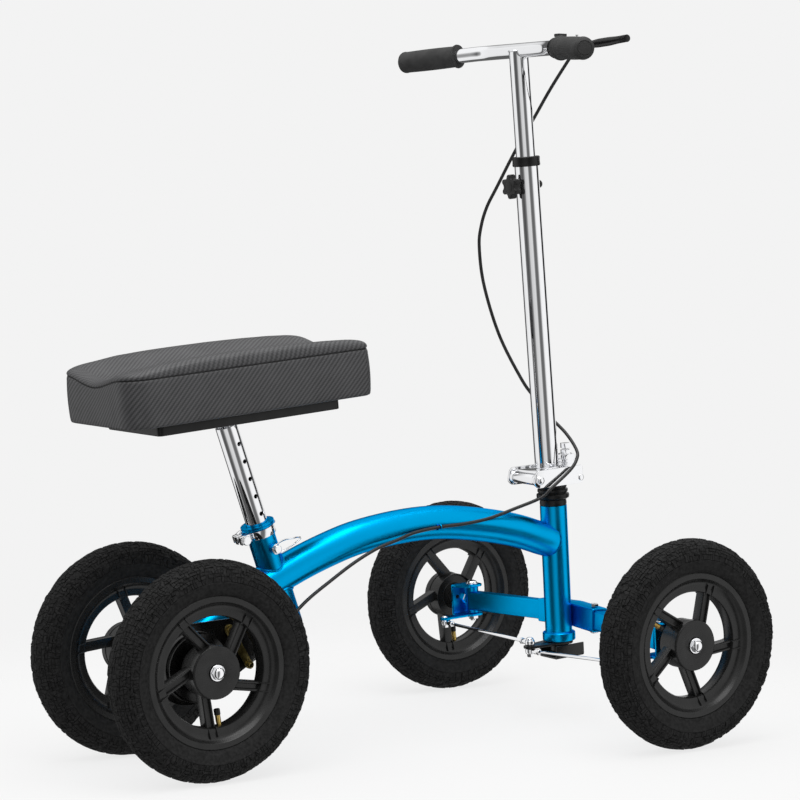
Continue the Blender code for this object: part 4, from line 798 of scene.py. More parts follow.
# ---------------------------------------------------------------- handlebar
def make_handlebar():
    top = (BAR_Z - COLUMN_POINT.z) / math.cos(COLUMN_RAKE)
    half = [Vector((0.2568, 0.0, BAR_Z)), Vector((0.2568, 0.03, BAR_Z)), Vector((0.2568, 0.056, BAR_Z)),
            Vector((0.2555, 0.076, BAR_Z - 0.0002)), BAR_BEND, BAR_BEND.lerp(BAR_END, 0.3), BAR_END]
    knots = [Vector((p.x, -p.y, p.z)) for p in reversed(half[1:])] + half
    bar = swept(smooth_path(knots, 0.006), BAR_R, 48)
    stem = moved(rod((0, 0, 0.23), (0, 0, top), STEM_R, 96), COLUMN)
    bead = []
    for x, y, _ in circle(STEM_R, 72):
        drop = math.sqrt(max(BAR_R ** 2 - x ** 2, 0.0))
        bead.append(COLUMN @ Vector((x, y, top - drop)))
    weld_radii = [BEAD_R + 0.0002 * math.sin(k * 2.2) for k in range(len(bead))]
    weld_bead = swept(bead, weld_radii, BEAD_SIDES, closed=True)
    piece("handlebar_tube", [bar, stem, weld_bead], "chrome", "handlebar", ["handlebar"])

    for name, side in SIDES:
        end = Vector((BAR_END.x, side * BAR_END.y, BAR_END.z))
        start = Vector((BAR_BEND.x, side * BAR_BEND.y, BAR_BEND.z))
        outline = [(BAR_R + 0.0002, -GRIP_LENGTH), (GRIP_R + 0.0012, -GRIP_LENGTH),
                   (GRIP_R + 0.0016, -GRIP_LENGTH + 0.0016), (GRIP_R + 0.001, -GRIP_LENGTH + 0.0034),
                   (GRIP_R - 0.0006, -GRIP_LENGTH + 0.005)]
        for k in range(1, 30):
            t = k / 30
            swell = 0.0006 * math.sin(math.pi * t)
            outline.append((GRIP_R - 0.0006 + swell, -GRIP_LENGTH + 0.005 + t * (GRIP_LENGTH - 0.009)))
        outline += [(GRIP_R, -0.004), (GRIP_R - 0.0004, -0.0012), (GRIP_R - 0.0018, 0.0014),
                    (GRIP_R - 0.004, 0.0032), (0.0112, 0.004), (0.0106, 0.0032), (0.0098, 0.0032),
                    (0.0092, 0.004), (0.004, 0.0047), (0, 0.0048), (0, -0.002),
                    (BAR_R + 0.0002, -0.002)]
        grip = moved(turned(outline, 72), aimed(end, end - start))
        piece(f"hand_grip_{name}", [grip], "grip_rubber", "handlebar", [f"grip_{name}"], angle=45)

    x, y = (LEVER_PIVOT - PERCH).xy
    run = BAR_END - BAR_BEND
    along = Vector((run.x, -run.y, run.z)).normalized()
    solids = [ring(-along * 0.0055, along * 0.0055, 0.015, BAR_R + 0.0002),
              ring(-along * 0.0062, -along * 0.004, 0.0156, BAR_R + 0.0006),
              block((0.0092, -0.006, -0.0062), (0.0172, 0.007, 0.0078), 0.0012),
              block((0.0142, -0.0015, -0.0067), (0.0312, 0.007, 0.0123), 0.0015),
              rod((x, y, -0.0067), (x, y, -0.0002), 0.0075), rod((x, y, 0.0088), (x, y, 0.0123), 0.0075),
              block((0.0202, -0.01, -0.0065), (0.0322, 0.0, -0.0004), 0.001),
              block((0.0202, -0.01, 0.009), (0.0322, 0.0, 0.0121), 0.001),
              rod((x, y, -0.0052), (x, y, 0.0113), 0.0026),
              rod((0.0422, 0.01, -0.0002), (0.0396, 0.0, 0.0016), 0.0045),
              block((0.0282, -0.0005, -0.0032), (0.0417, 0.006, 0.0068), 0.0015),
              block((-0.0026, -0.0055, 0.012), (0.01, 0.0045, 0.0165), 0.0008),
              block((-0.0038, -0.0062, 0.016), (0.0112, 0.0052, 0.0205), 0.0008)]
    clamp_at = Matrix.Translation(PERCH)
    piece("lever_perch", solids, "black_steel", "handlebar", ["brake_perch"], matrix=clamp_at)
    pin = [dome((x, y, 0.0121), UP, 0.0042, 0.0028, 24),
           rod((x, y, 0.014), (x, y, 0.019), 0.0011, 16, 0.0003),
           rod((x - 0.0022, y, 0.0187), (x + 0.0022, y, 0.0187), 0.0009, 12, 0.0002)]
    piece("lever_pin_head", pin, "steel", "handlebar", matrix=clamp_at)
    ferrule = [rod((0.0423, 0.0104, -0.0003), (0.0449, 0.0206, -0.0022), 0.0037, 28)]
    piece("cable_ferrule", ferrule, "black_steel", "handlebar", matrix=clamp_at)

    path = smooth_path([
        (0.001, -0.003, 0.0), (0.012, -0.018, 0.0008), (0.015, -0.036, 0.0022),
        (0.015, -0.062, 0.0034), (0.0125, -0.086, 0.0044), (0.0095, -0.104, 0.005),
    ], 0.0025)
    radii = []
    for k in range(len(path)):
        t = k / (len(path) - 1)
        radii.append(0.0044 + 0.002 * smooth_step(0.05, 0.35, t) - 0.001 * smooth_step(0.5, 0.8, t))
    blade = swept(path, radii, 24, squeeze=0.62)
    lever = [blade, ring((0, 0, -0.004), (0, 0, 0.004), 0.0072, 0.003)]
    ahead = (path[-1] - path[-3]).normalized()
    for k in range(5):  # the ribbed end knob
        spot = path[-1] - ahead * (0.0008 + 0.0034 * k)
        lever.append(rod(spot - ahead * 0.0011, spot + ahead * 0.0011, 0.0054, 28, 0.0004))
    piece("lever_blade", lever, "black_steel", "lever", ["brake_lever"],
          matrix=Matrix.Translation(LEVER_PIVOT))


# ---------------------------------------------------------------- seat
def pad_loop(inset, steps=16):
    """The cushion's outline seen from above, drawn in by inset, with evenly numbered points."""
    x, y = PAD_LENGTH / 2, PAD_WIDTH / 2
    least = 0.0015
    curves = []
    front, rear = 0.016, 0.036
    for cx, cy, radius, first in ((x, y, front, 0), (-x, y, rear, 90), (-x, -y, rear, 180),
                                  (x, -y, front, 270)):
        back = max(radius, inset + least)
        centre = (cx - math.copysign(back, cx), cy - math.copysign(back, cy))
        curves.append(arc(centre, max(radius - inset, least), first, first + 90, steps))
    points = []
    for n, curve in enumerate(curves):
        points += curve
        tail, head = Vector(curve[-1]), Vector(curves[(n + 1) % 4][0])
        runs = 44 if n % 2 == 0 else 22
        points += [tuple(tail.lerp(head, k / runs)) for k in range(1, runs)]
    return points


def trough(y):
    """How far the cushion's top lies below its two long ridges."""
    return 0.0125 * (0.5 + 0.5 * math.cos(math.pi * min(1.0, abs(y) / 0.082)))


def cushion_point(point, rise):
    """A point of the cushion. Rise is its height over the seam, negative below it, and None on the base."""
    x, y = point
    ends = smooth_step(0.11, 0.185, abs(x))
    seam = SEAM_HEIGHT - trough(y) * ends
    if rise is None:
        return Vector((x, y, 0.0))
    if rise <= 0:
        low = 1 + rise / SEAM_HEIGHT
        bulge = 0.0012 * math.sin(math.pi * max(0.0, min(1.0, low)))
        waist = 1 - 0.0016 * math.sin(math.pi * (x + 0.192) / 0.384) * math.sin(math.pi * low)
        return Vector((x * (1 + bulge / 0.19), y * (waist + bulge / 0.09), seam * low))
    along = x / (PAD_LENGTH / 2)
    crown = 0.0075 * (1 - along * along) * smooth_step(0.0, 0.012, rise)
    rear = smooth_step(-0.095, -0.185, x)
    front = smooth_step(0.165, 0.193, x)
    lift = rise * (1 - 0.3 * rear - 0.15 * front) + crown
    ripple = 0.0004 * noise.noise(Vector((x * 40, y * 40, 3.0)))
    return Vector((x, y, SEAM_HEIGHT - trough(y) + lift + ripple))


def make_cushion():
    levels = [(0.07, None), (0.035, None), (0.0045, None), (0.0012, -0.0648), (0.0003, -0.0625)]
    levels += [(0.0, -0.058 + 0.0045 * k) for k in range(13)]
    levels += [(0.0004, -0.0022), (0.001, -0.0009), (0.0026, -0.0001), (0.0012, 0.0006), (0.0003, 0.0018)]
    levels += [(0.0, 0.0034), (0.0004, 0.0054), (0.0016, 0.0074), (0.0036, 0.0092), (0.0064, 0.0106),
               (0.01, 0.0115), (0.014, 0.0119)]
    levels += [(0.014 + 0.0056 * k, 0.012) for k in range(1, 16)]
    bm = bmesh.new()
    layer = bm.loops.layers.uv.new("weave")
    loops, travel, run = [], [], 0.0
    gauge, widest, lip = 70, 8, 30  # the point measured down the side, and the loops of the side and the lip
    for inset, rise in levels:
        points = [cushion_point(p, rise) for p in pad_loop(inset)]
        if loops:
            run += (points[gauge] - loops[-1][gauge].co).length
        loops.append([bm.verts.new(p) for p in points])
        travel.append(run)
    outer = loops[widest]
    count = len(outer)
    around = [0.0]
    for k in range(count):
        around.append(around[-1] + (outer[(k + 1) % count].co - outer[k].co).length)
    for j, (here, there) in enumerate(zip(loops, loops[1:])):
        on_top = j >= lip or j < 2
        for k in range(count):
            n = (k + 1) % count
            face = bm.faces.new((here[k], here[n], there[n], there[k]))
            face.smooth = True
            spots = ((around[k], travel[j]), (around[k + 1], travel[j]),
                     (around[k + 1], travel[j + 1]), (around[k], travel[j + 1]))
            for corner, spot in zip(face.loops, spots):
                corner[layer].uv = (corner.vert.co.x, corner.vert.co.y) if on_top else spot
    caps = [bm.faces.new(loop) for loop in (loops[0], loops[-1])]
    for face in caps:
        face.smooth = True
        for corner in face.loops:
            corner[layer].uv = (corner.vert.co.x, corner.vert.co.y)
    bmesh.ops.triangulate(bm, faces=caps, ngon_method="BEAUTY")
    bmesh.ops.recalc_face_normals(bm, faces=bm.faces)
    moved(bm, PAD)
    mesh = bpy.data.meshes.new("knee_cushion")
    bm.to_mesh(mesh)
    bm.free()
    cushion = mesh_object("knee_cushion", mesh, "pad_vinyl")
    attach(cushion, "seat")
    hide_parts("knee_pad")
    line = [PAD @ cushion_point(p, -0.0006) for p in pad_loop(0.0014)]
    piece("cushion_piping", [swept(line, 0.0007, 8, closed=True)], "black_plastic", "seat")


def work_object(name, bm):
    """A closed solid as an object of its own, to cut or be cut."""
    bmesh.ops.recalc_face_normals(bm, faces=bm.faces)
    made = bpy.data.objects.new(name, bpy.data.meshes.new(name))
    bm.to_mesh(made.data)
    bm.free()
    bpy.context.scene.collection.objects.link(made)
    return made


def make_seat():
    top, bottom = 0.164, -0.105
    post = ring((0, 0, bottom), (0, 0, top - 0.016), POST_R, 0.0133, 96)
    work, tools = work_object("work", post), []
    for k in range(7):
        height = -PIN_DEPTH + k * HOLE_PITCH
        tool = work_object("drill", rod((0.003, -0.03, height), (0.003, -0.008, height), 0.0032, 32, 0.0))
        cut = work.modifiers.new("cut", "BOOLEAN")
        cut.operation, cut.solver, cut.object = "DIFFERENCE", "EXACT", tool
        tools.append(tool)
    drilled = bmesh.new()
    drilled.from_mesh(work.evaluated_get(bpy.context.evaluated_depsgraph_get()).to_mesh())
    for made in [work, *tools]:
        bpy.data.objects.remove(made, do_unlink=True)
    to_pad = SEAT.inverted() @ PAD
    under = -BOARD_HEIGHT - 0.004
    corners = [(0.057, 0.032), (-0.045, 0.032), (-0.045, -0.032), (0.057, -0.032)]
    solids = [drilled, moved(plate(eased(corners, 0.008, 6), under, under + 0.0037), to_pad)]
    for x in (-0.033, 0.045):
        for y in (-0.022, 0.022):
            solids.append(moved(dome((x, y, under), DOWN, 0.0052, 0.0022, 20), to_pad))
    collar = []
    plane, normal = to_pad @ Vector((0, 0, under - 0.0002)), to_pad.to_3x3() @ Vector(UP)
    for spot in map(Vector, circle(POST_R, 60)):
        spot.z = (plane.dot(normal) - spot.x * normal.x - spot.y * normal.y) / normal.z
        collar.append(spot)
    solids.append(swept(collar, 0.0014, 8, closed=True))
    piece("seat_post_tube", [moved(bm, SEAT) for bm in solids], "chrome", "seat", ["seat_post"])

    corners = [(0.1518, 0.075), (-0.1382, 0.075), (-0.1382, -0.075), (0.1518, -0.075)]
    board = plate(eased(corners, 0.008, 6), -BOARD_HEIGHT, -0.0003, ease=0.0012)
    screws = [dome((x, y, -BOARD_HEIGHT + 0.0002), DOWN, 0.0042, 0.0018, 20)
              for x in (-0.12, 0.0, 0.135) for y in (-0.06, 0.06)]
    piece("base_board", [moved(bm, PAD) for bm in [board, *screws]], "black_plastic", "seat", ["pad_board"])


def make_lock_pin():
    spot = SEAT @ Matrix.Translation((0.003, -0.0255, -PIN_DEPTH))
    profile = eased([(0, 0.0093), (0.004, 0.0093), (0.0042, 0), (0.0058, -0.0005), (0.0058, -0.0017),
                     (0.003, -0.0022), (0.003, -0.0044), (0.0058, -0.005), (0.0058, -0.0068),
                     (0.0048, -0.0075), (0, -0.0075)], 0.0004)
    piece("pin_head", [turned(profile, 48, "Y")], "chrome", "lock_pin", ["lock_pin"], matrix=spot)
    loop = [(-0.0045, -0.0033, 0.0052), (0.002, -0.0033, 0.0068), (0.014, 0.002, 0.006),
            (0.026, 0.008, 0.003)]
    for degrees in range(70, -71, -35):
        a = math.radians(degrees)
        loop.append((0.033 + 0.009 * math.cos(a), 0.0005 + 0.009 * math.sin(a), 0.0))
    loop += [(0.026, -0.007, -0.003), (0.014, -0.0045, -0.0055), (0.004, -0.0033, -0.0064),
             (-0.0045, -0.0033, -0.0052), (-0.0068, -0.0033, 0.0)]
    whole = smooth_path([*loop[-3:], *loop, *loop[:3]], 0.0015)

    def passing(share):
        """The place nearest the loop's first point, on the pass at about this share of the way."""
        return min(range(len(whole)),
                   key=lambda i: (whole[i] - Vector(loop[0])).length + 0.01 * abs(i / len(whole) - share))

    wire = swept(whole[passing(0.1):passing(1.0)], 0.0011, 14, closed=True)
    piece("pull_ring", [wire], "chrome", "pin_ring", ["pin_ring"], matrix=spot)


# ---------------------------------------------------------------- knuckles and tie rods
def make_knuckle(name, side):
    spot, body = kingpin_frame(side), f"knuckle_{name}"
    flange_top, flange_low, thick = 0.0209, -0.0219, 0.0038
    rear, front, inner, web_in, web_out = -0.0265, 0.014, -0.014, 0.0167, 0.0205
    outline = [(rear, side * web_out), (rear, side * 0.004), (-0.013, side * inner),
               (0.008, side * inner), (front, side * (inner + 0.006)), (front, side * web_out)]
    outline = eased(outline, 0.003, 5)
    arm_low = flange_low - thick
    low_y, high_y = sorted((side * web_in, side * web_out))
    web = plate(eased([(rear, arm_low), (front, arm_low), (front, flange_top + thick),
                       (rear, flange_top + thick)], 0.003, 5), low_y, high_y, "Y", 0.0009)
    hole = ring((-0.0175, side * (web_in + 0.0005), 0.004), (-0.0175, side * (web_out + 0.0002), 0.004),
                0.0046, 0.0036, 32, 0.0002)
    solids = [plate(outline, flange_top, flange_top + thick, ease=0.0009),
              plate(outline, arm_low, flange_low, ease=0.0009), web, hole,
              plate(link_outline(STEER_ARM, 0.01, 0.0075), arm_low, flange_low, ease=0.0009)]
    piece(f"knuckle_c_{name}", solids, "blue_paint", body, [body], matrix=spot)
    # Thin black caps inside both mouths of the hole's bore: painted shade, the dark inside of the open hole.
    dark = [dome((-0.0175, side * y, 0.004), (0, way, 0), 0.0036, 0.0007, 24)
            for y, way in ((web_out - 0.0004, side), (web_in + 0.0004, -side))]
    piece(f"knuckle_hole_shade_{name}", dark, "black_steel", body, matrix=spot)
    stud = [rod((-STEER_ARM, 0, arm_low - 0.0118), (-STEER_ARM, 0, flange_low + 0.003), 0.0028, 24),
            hexagon((-STEER_ARM, 0, arm_low - 0.0084), (-STEER_ARM, 0, arm_low - 0.0125), 0.0054),
            dome((-STEER_ARM, 0, flange_low - 0.0002), UP, 0.0052, 0.0032, 28)]
    piece(f"arm_stud_{name}", stud, "chrome", body, matrix=spot)

    head_low = flange_top + thick + 0.0003
    pin = [rod((0, 0, arm_low - 0.006), (0, 0, head_low + 0.001), 0.005),
           ring((0, 0, head_low - 0.0002), (0, 0, head_low + 0.001), 0.0098, 0.0045),
           dome((0, 0, head_low + 0.0008), UP, 0.0084, 0.0052),
           hexagon((0, 0, arm_low - 0.0003), (0, 0, arm_low - 0.0058), 0.0082),
           rod((0, 0, arm_low - 0.0085), (0, 0, arm_low - 0.004), 0.0048)]
    piece(f"kingpin_bolt_{name}", pin, "chrome", body, [f"kingpin_{name}"], matrix=spot)

    wheel_y = FRONT_TRACK / 2 - KINGPIN.y
    face, x = wheel_y + 0.018, -0.0022
    axle = [rod((x, side * 0.012, 0), (x, side * face, 0), 0.006),
            hexagon((x, side * 0.0165, 0), (x, side * 0.0108, 0), 0.0084),
            rod((x, side * 0.0207, 0), (x, side * (wheel_y - 0.0305), 0), 0.009)]
    axle += nut_with_washer((x, side * (face + 0.0003), 0), side)
    piece(f"stub_axle_set_{name}", axle, "chrome", body, [f"stub_axle_{name}"], matrix=spot)


def make_tie_rod(name, side):
    pivot = STEER @ Matrix.Translation((-STEER_ARM, 0, 0))
    near = Vector((0, 0, PLATE_TOP + (0.0045 if side > 0 else -0.0085)))
    knuckle = kingpin_frame(side)
    far_low = -0.0219 - 0.0038 - 0.0084 + 0.0002
    far = pivot.inverted() @ (knuckle @ Vector((-STEER_ARM, 0, far_low + 0.004)))
    out = (far - near).normalized()
    solids = [rod(near + out * 0.006, far - out * 0.006, 0.0025, 28)]
    eye = eased([(0.0036, -0.004), (0.0066, -0.004), (0.0075, -0.002), (0.0075, 0.002),
                 (0.0066, 0.004), (0.0036, 0.004)], 0.0006)
    for point, away in ((far, -out), (near, out)):
        solids.append(moved(turned(eye, 48), Matrix.Translation(point)))
        solids.append(rod(point + away * 0.0062, point + away * 0.019, 0.004, 28))
        solids.append(hexagon(point + away * 0.0185, point + away * 0.0225, 0.005))
    piece(f"steering_link_{name}", solids, "chrome", f"tie_rod_{name}", [f"tie_rod_{name}"], matrix=pivot)


# ---------------------------------------------------------------- wheels
def tyre_mesh(seed):
    """A smooth sidewall and a tread of small irregular blocks."""
    random.seed(seed)
    columns, rows = 190, 17
    middle, half_width, crown = 0.1262, 0.0262, 0.0245
    side_wall = [(0.0985, 0.011), (0.101, 0.0158), (0.104, 0.0172), (0.1052, 0.0196), (0.1085, 0.0226),
                 (0.1125, 0.0248), (0.117, 0.0263), (0.1215, 0.0269), (0.1222, 0.0274), (0.1236, 0.0274),
                 (0.124, 0.0264)]
    bm = bmesh.new()
    tread = []
    for i in range(rows + 1):
        a = math.pi * (i / rows)
        tread.append((middle + crown * math.sin(a) ** 0.92, half_width * math.cos(a)))
    inner = [(0.124, -0.0264)] + [(r, -y) for r, y in reversed(side_wall[:-1])]
    inner += [(0.1235, -0.0222), (0.14, -0.015), (0.1478, 0.0), (0.14, 0.015), (0.1235, 0.0222)]
    profile = side_wall + tread[1:-1] + inner
    first, last = len(side_wall) - 1, len(side_wall) + len(tread) - 2
    rings = []
    for turn in turn_angles(columns):
        loop = []
        for i, (r, y) in enumerate(profile):
            a = turn
            if first < i < last:
                a += random.uniform(-0.42, 0.42) * 2 * math.pi / columns
                y += random.uniform(-0.0017, 0.0017)
            loop.append(bm.verts.new((r * math.cos(a), y, r * math.sin(a))))
        rings.append(loop)
    blocks = []
    for k in range(columns):
        here, there = rings[k], rings[(k + 1) % columns]
        for i in range(len(profile)):
            j = (i + 1) % len(profile)
            face = bm.faces.new((here[i], here[j], there[j], there[i]))
            if first <= i < last:
                blocks.append(face)
            else:
                face.smooth = True
    bmesh.ops.recalc_face_normals(bm, faces=bm.faces)
    free, joined = set(blocks), []
    for block_face in random.sample(blocks, len(blocks)):
        if block_face not in free or random.random() < 0.45:
            continue
        edge = random.choice(list(block_face.edges))
        pair = list(edge.link_faces)
        if all(face in free for face in pair):
            free.difference_update(pair)
            joined.append(edge)
    for face in [f for f in blocks if f in free]:
        if random.random() < 0.3:
            free.discard(face)
            corner = random.randrange(2)
            bmesh.utils.face_split(face, face.verts[corner], face.verts[corner + 2])
    smooth_faces = {f for f in bm.faces if f.smooth}
    bmesh.ops.dissolve_edges(bm, edges=joined, use_verts=False)
    cells = [f for f in bm.faces if f not in smooth_faces]
    random.shuffle(cells)
    most, all_raised = len(cells) * 3 // 5, len(cells) * 9 // 10
    bmesh.ops.inset_individual(bm, faces=cells[:most], thickness=0.0006, depth=0.0015)
    bmesh.ops.inset_individual(bm, faces=cells[most:all_raised], thickness=0.0008, depth=0.0008)
    return bm


def rim_solids(hand):
    half = [(0.076, 0.0085), (0.0772, 0.0105), (0.08, 0.011), (0.085, 0.0104), (0.0895, 0.0118),
            (0.093, 0.0152), (0.095, 0.0185), (0.0962, 0.0197), (0.1035, 0.0197), (0.1052, 0.0186),
            (0.1052, 0.0164), (0.101, 0.015), (0.0968, 0.01)]
    whole = half + [(r, -y) for r, y in reversed(half)]
    solids = [turned(whole, 144, "Y")]
    hub = [(0.0066, 0.0162), (0.0118, 0.0162), (0.0122, 0.0178), (0.0128, 0.018), (0.0345, 0.018),
           (0.036, 0.0174), (0.0366, 0.016), (0.0366, 0.006), (0.0356, 0.005), (0.0356, -0.018),
           (0.0345, -0.018), (0.033, -0.012), (0.021, -0.012), (0.02, -0.014), (0.02, -0.03),
           (0.0066, -0.03)]
    solids.append(turned(eased(hub, 0.0006), 96, "Y"))
    section = [(-0.007, -0.009), (0.007, -0.009), (0.007, 0.006), (0.0062, 0.0075), (0.004, 0.0075),
               (0.003, 0.004), (-0.003, 0.004), (-0.004, 0.0075), (-0.0062, 0.0075), (-0.007, 0.006)]
    section = eased(section, 0.0006, 2)
    stand = Matrix(((0, 0, 1, 0), (0, 1, 0, 0), (-1, 0, 0, 0), (0, 0, 0, 1)))
    for k in range(5):
        turn = Matrix.Rotation(2 * math.pi * k / 5, 4, "Y") @ Matrix.Translation((0, 0, -hand * SPOKE_OFFSET))
        spoke = plate(section, 0.024, 0.077, ease=0.0)
        solids.append(moved(spoke, turn @ stand))
        for across in (-0.0058, 0.0058):
            for face in (1, -1):
                fin = plate([(0.0735, face * 0.007), (0.0735, face * 0.0112), (0.08, face * 0.0128),
                             (0.0868, face * 0.014), (0.09, face * 0.008)], -0.0008, 0.0008, ease=0.0003)
                solids.append(moved(fin, turn @ Matrix.Translation((0, 0, across))))
    return solids


def make_wheels():
    for n, (name, degrees) in enumerate(VALVE_ANGLES.items()):
        end, hand = name.split("_")
        side = 1 if hand == "left" else -1
        track = FRONT_TRACK if end == "front" else REAR_TRACK
        x = WHEELBASE / 2 if end == "front" else REAR_X
        spot = Matrix.Translation((x, side * track / 2, WHEEL_R))
        angle = math.radians(degrees)
        if side < 0:
            spot = spot @ Matrix.Rotation(math.pi, 4, "Z")
            angle = math.pi - angle
        body = f"wheel_{name}"
        piece(f"tread_tyre_{name}", [tyre_mesh(n)], "tyre_rubber", body, [f"tyre_{name}"], angle=28,
              matrix=spot)
        spot = spot @ Matrix.Rotation(-angle, 4, "Y")
        piece(f"spoked_rim_{name}", rim_solids(side), "wheel_plastic", body, [f"rim_{name}"], matrix=spot)
        stem = [rod((0.06, 0, 0), (0.1, 0, 0), 0.0034, 24)]
        stem += [ring((0.0615 + 0.0012 * k, 0, 0), (0.0621 + 0.0012 * k, 0, 0), 0.0038, 0.003, 24, 0.0002)
                 for k in range(9)]
        piece(f"valve_stem_{name}", stem, "brass", body, matrix=spot)
        cap = [rod((0.053, 0, 0), (0.0615, 0, 0), 0.0044, 24, 0.001)]
        piece(f"valve_cap_{name}", cap, "black_plastic", body, matrix=spot)


# ---------------------------------------------------------------- cable
COLUMN_HOLD, FORK_HOLD, FRAME_HOLD = (0.244, 0.082, 0.7168), (0.346, -0.029, 0.4113), (0.14, -0.029, 0.3125)
CABLE_ROUTE = [
    (0.2842, -0.106, 1.0065), (0.2868, -0.0962, 1.0047), (0.289, -0.08, 0.993),
    (0.29, -0.048, 0.965), (0.291, -0.024, 0.943),
    (0.293, 0.006, 0.9146), (0.28, 0.0384, 0.8629),
    (0.26, 0.059, 0.8074), (0.2508, 0.072, 0.7773), (0.2452, 0.079, 0.7479),
    (0.244, 0.082, 0.7168), (0.2515, 0.08, 0.6592), (0.2716, 0.068, 0.5832),
    (0.2979, 0.048, 0.5179), (0.313, 0.036, 0.49), (0.33, 0.018, 0.46),
    (0.342, -0.008, 0.435), (0.346, -0.029, 0.4113), (0.34, -0.0375, 0.398),
    (0.325, -0.04, 0.382), (0.2912, -0.0395, 0.3575), (0.2722, -0.037, 0.3433),
    (0.23, -0.032, 0.33), (0.1845, -0.03, 0.318), (0.14, -0.029, 0.3125),
    (0.0941, -0.0286, 0.3104), (0.0511, -0.0286, 0.3053), (0.0177, -0.029, 0.296),
    (-0.0167, -0.03, 0.2864), (-0.056, -0.031, 0.269), (-0.0958, -0.032, 0.2466),
    (-0.1367, -0.034, 0.2222), (-0.178, -0.046, 0.196), (-0.2, -0.054, 0.1815),
    (-0.2185, -0.061, 0.1694),
]


def make_cable():
    """One cable in three runs, cut where it is held on the column and on the fork."""
    route = smooth_path(CABLE_ROUTE, 0.004)
    cuts = [min(range(len(route)), key=lambda i: (route[i] - Vector(joint)).length)
            for joint in (COLUMN_HOLD, FORK_HOLD)]
    edges = [0, *cuts, len(route) - 1]
    runs = [("cable_to_column", "cable_upper", ("handlebar", "column"), (0.26, 0, 0.98), (0.26, 0, 0.72),
             "hanging"),
            ("cable_to_fork", "cable_column", ("column", "steering"), (0.26, 0, 0.7), (0.26, 0, 0.45),
             "loose"),
            ("cable_to_drum", "cable_rear", ("steering", "frame"), FORK_HOLD, FRAME_HOLD, "taut")]
    for k, (name, cad, bodies, start, end, lay) in enumerate(runs):
        line = route[edges[k]:edges[k + 1] + 1]
        run = piece(name, [swept(line, CABLE_R, 20)], "cable_jacket", None, [cad],
                    blend=(*bodies, Vector(start), Vector(end)))
    tail = [rod(route[-1] - (route[-1] - route[-2]).normalized() * 0.009, route[-1], 0.0033, 24)]
    piece("cable_end_cap", tail, "black_steel", "frame")


# ---------------------------------------------------------------- CAD nodes that stay
def dress_kept_nodes():
    kept = {"lower_bearing": "steel"}
    kept.update({f"inner_tube_{end}_{hand}": "inner_rubber"
                 for end in ("front", "rear") for hand in ("left", "right")})
    for name, finish in kept.items():
        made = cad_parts[name]
        for material_slot in made.material_slots:
            material_slot.material = FINISH[finish]


# ---------------------------------------------------------------- stage
def make_floor():
    """A pale round floor that thins out to nothing before its edge."""
    fade_start, fade_end, edge = 0.55, 1.3, 1.4
    made, tree, bsdf = shader("floor", grey(0.86), 0.9, 0.0, **{SHINE: 0.0})
    glow = node(tree, "Emission", [("Color", BACKDROP), ("Strength", 1.0)])
    mixed = node(tree, "MixShader", [("Fac", 0.86), (1, bsdf.outputs["BSDF"]), (2, glow.outputs["Emission"])])
    reach = node(tree, "VectorMath", [(0, place(tree))], operation="LENGTH")
    share = node(tree, "MapRange", [("Value", reach.outputs["Value"]), ("From Min", fade_start),
                                  ("From Max", fade_end)], interpolation_type="SMOOTHSTEP")
    clear = node(tree, "BsdfTransparent")
    faded = node(tree, "MixShader", [("Fac", share.outputs["Result"]), (1, mixed.outputs["Shader"]),
                                     (2, clear.outputs["BSDF"])])
    tree.links.new(faded.outputs["Shader"], tree.nodes["Material Output"].inputs["Surface"])
    bm = bmesh.new()
    bmesh.ops.create_circle(bm, cap_ends=True, segments=96, radius=edge)
    mesh = bpy.data.meshes.new("floor")
    bm.to_mesh(mesh)
    bm.free()
    mesh.materials.append(made)
    floor = bpy.data.objects.new("floor", mesh)
    bpy.context.scene.collection.objects.link(floor)
    floor.visible_glossy = False


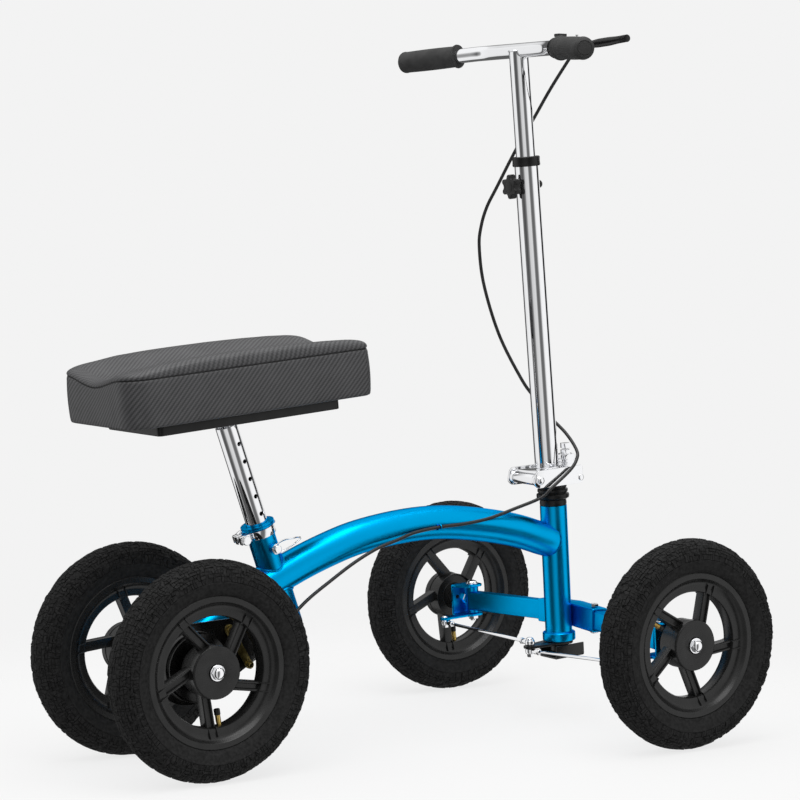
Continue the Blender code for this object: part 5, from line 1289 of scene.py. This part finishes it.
def make_world():
    """A pale studio with soft grey flats standing round it, seen in the bright metal."""
    world = bpy.data.worlds.new("studio")
    bpy.context.scene.world = world
    world.use_nodes = True
    tree = world.node_tree
    direction = node(tree, "TexCoord").outputs["Generated"]
    split = node(tree, "SeparateXYZ", [("Vector", direction)])
    turn = node(tree, "Math", [(0, split.outputs["Y"]), (1, split.outputs["X"])], operation="ARCTAN2")
    share = node(tree, "MapRange", [("Value", turn.outputs[0]), ("From Min", -math.pi),
                                    ("From Max", math.pi)])
    facing = -123.85  # the azimuth, in degrees, that the offsets of the flats are counted from
    stops = []
    for offset, tone in ((-180, 0.12), (-134, 0.1), (-127, 0.86), (-80, 0.95), (-70, 0.12), (-48, 0.08),
                         (-32, 0.22), (-23, 0.66), (6, 0.76), (15, 0.17), (32, 0.13), (43, 0.26),
                         (51, 0.86), (62, 1.0), (101, 1.0), (107, 0.01), (133, 0.01), (139, 0.85),
                         (172, 0.85)):
        spot = ((facing + offset + 180) % 360) / 360
        stops.append((spot, grey(tone)))
    stops.sort()
    flats = ramp(tree, share.outputs["Result"], stops)
    height = node(tree, "MapRange", [("Value", split.outputs["Z"]), ("From Min", 0.35), ("From Max", 0.65)])
    mix = node(tree, "Mix", [("Factor", height.outputs["Result"])], data_type="RGBA")
    tree.links.new(flats, mix.inputs[6])
    mix.inputs[7].default_value = (1.0, 1.0, 1.0, 1)
    seen = node(tree, "Background", [("Color", BACKDROP), ("Strength", 1.0)])
    lit = node(tree, "Background", [("Color", mix.outputs[2]), ("Strength", 1.0)])
    ray = node(tree, "LightPath")
    both = node(tree, "MixShader", [("Fac", ray.outputs["Is Camera Ray"]), (1, lit.outputs["Background"]),
                                    (2, seen.outputs["Background"])])
    tree.links.new(both.outputs["Shader"], tree.nodes["World Output"].inputs["Surface"])


def make_lights():
    target = Vector((0.0, 0.0, 0.4))
    for name, spot, size, power in (
            ("overhead", (-0.4, -0.6, 3.2), 2.6, 70.0),
            ("key", (-3.0, -1.2, 2.4), 1.8, 30.0),
            ("fill", (1.6, -3.0, 1.6), 1.6, 14.0)):
        light = bpy.data.lights.new(name, "AREA")
        light.shape, light.size, light.energy = "SQUARE", size, power
        made = bpy.data.objects.new(name, light)
        made.visible_glossy = name == "overhead"
        made.location = spot
        made.rotation_euler = (target - Vector(spot)).to_track_quat("-Z", "Y").to_euler()
        bpy.context.scene.collection.objects.link(made)


def make_camera():
    camera = bpy.data.cameras.new("camera")
    camera.lens, camera.sensor_width = 120.5, 36.0
    made = bpy.data.objects.new("camera", camera)
    yaw, pitch = math.radians(56.148), math.radians(4.073)
    ahead = Vector((math.cos(yaw) * math.cos(pitch), math.sin(yaw) * math.cos(pitch), -math.sin(pitch)))
    made.location = (-2.1209, -3.228, 0.7738)
    made.rotation_euler = ahead.to_track_quat("-Z", "Y").to_euler()
    bpy.context.scene.collection.objects.link(made)
    bpy.context.scene.camera = made


make_frame()
make_seat_clamp()
make_rear_axle()
make_brake()
make_steering()
make_fold_joint()
make_column()
make_handlebar()
make_cushion()
make_seat()
make_lock_pin()
for hand, outward in SIDES:
    make_knuckle(hand, outward)
    make_tie_rod(hand, outward)
make_wheels()
make_cable()
dress_kept_nodes()
make_floor()
make_world()
make_lights()
make_camera()
bpy.context.scene.view_settings.view_transform = "Standard"
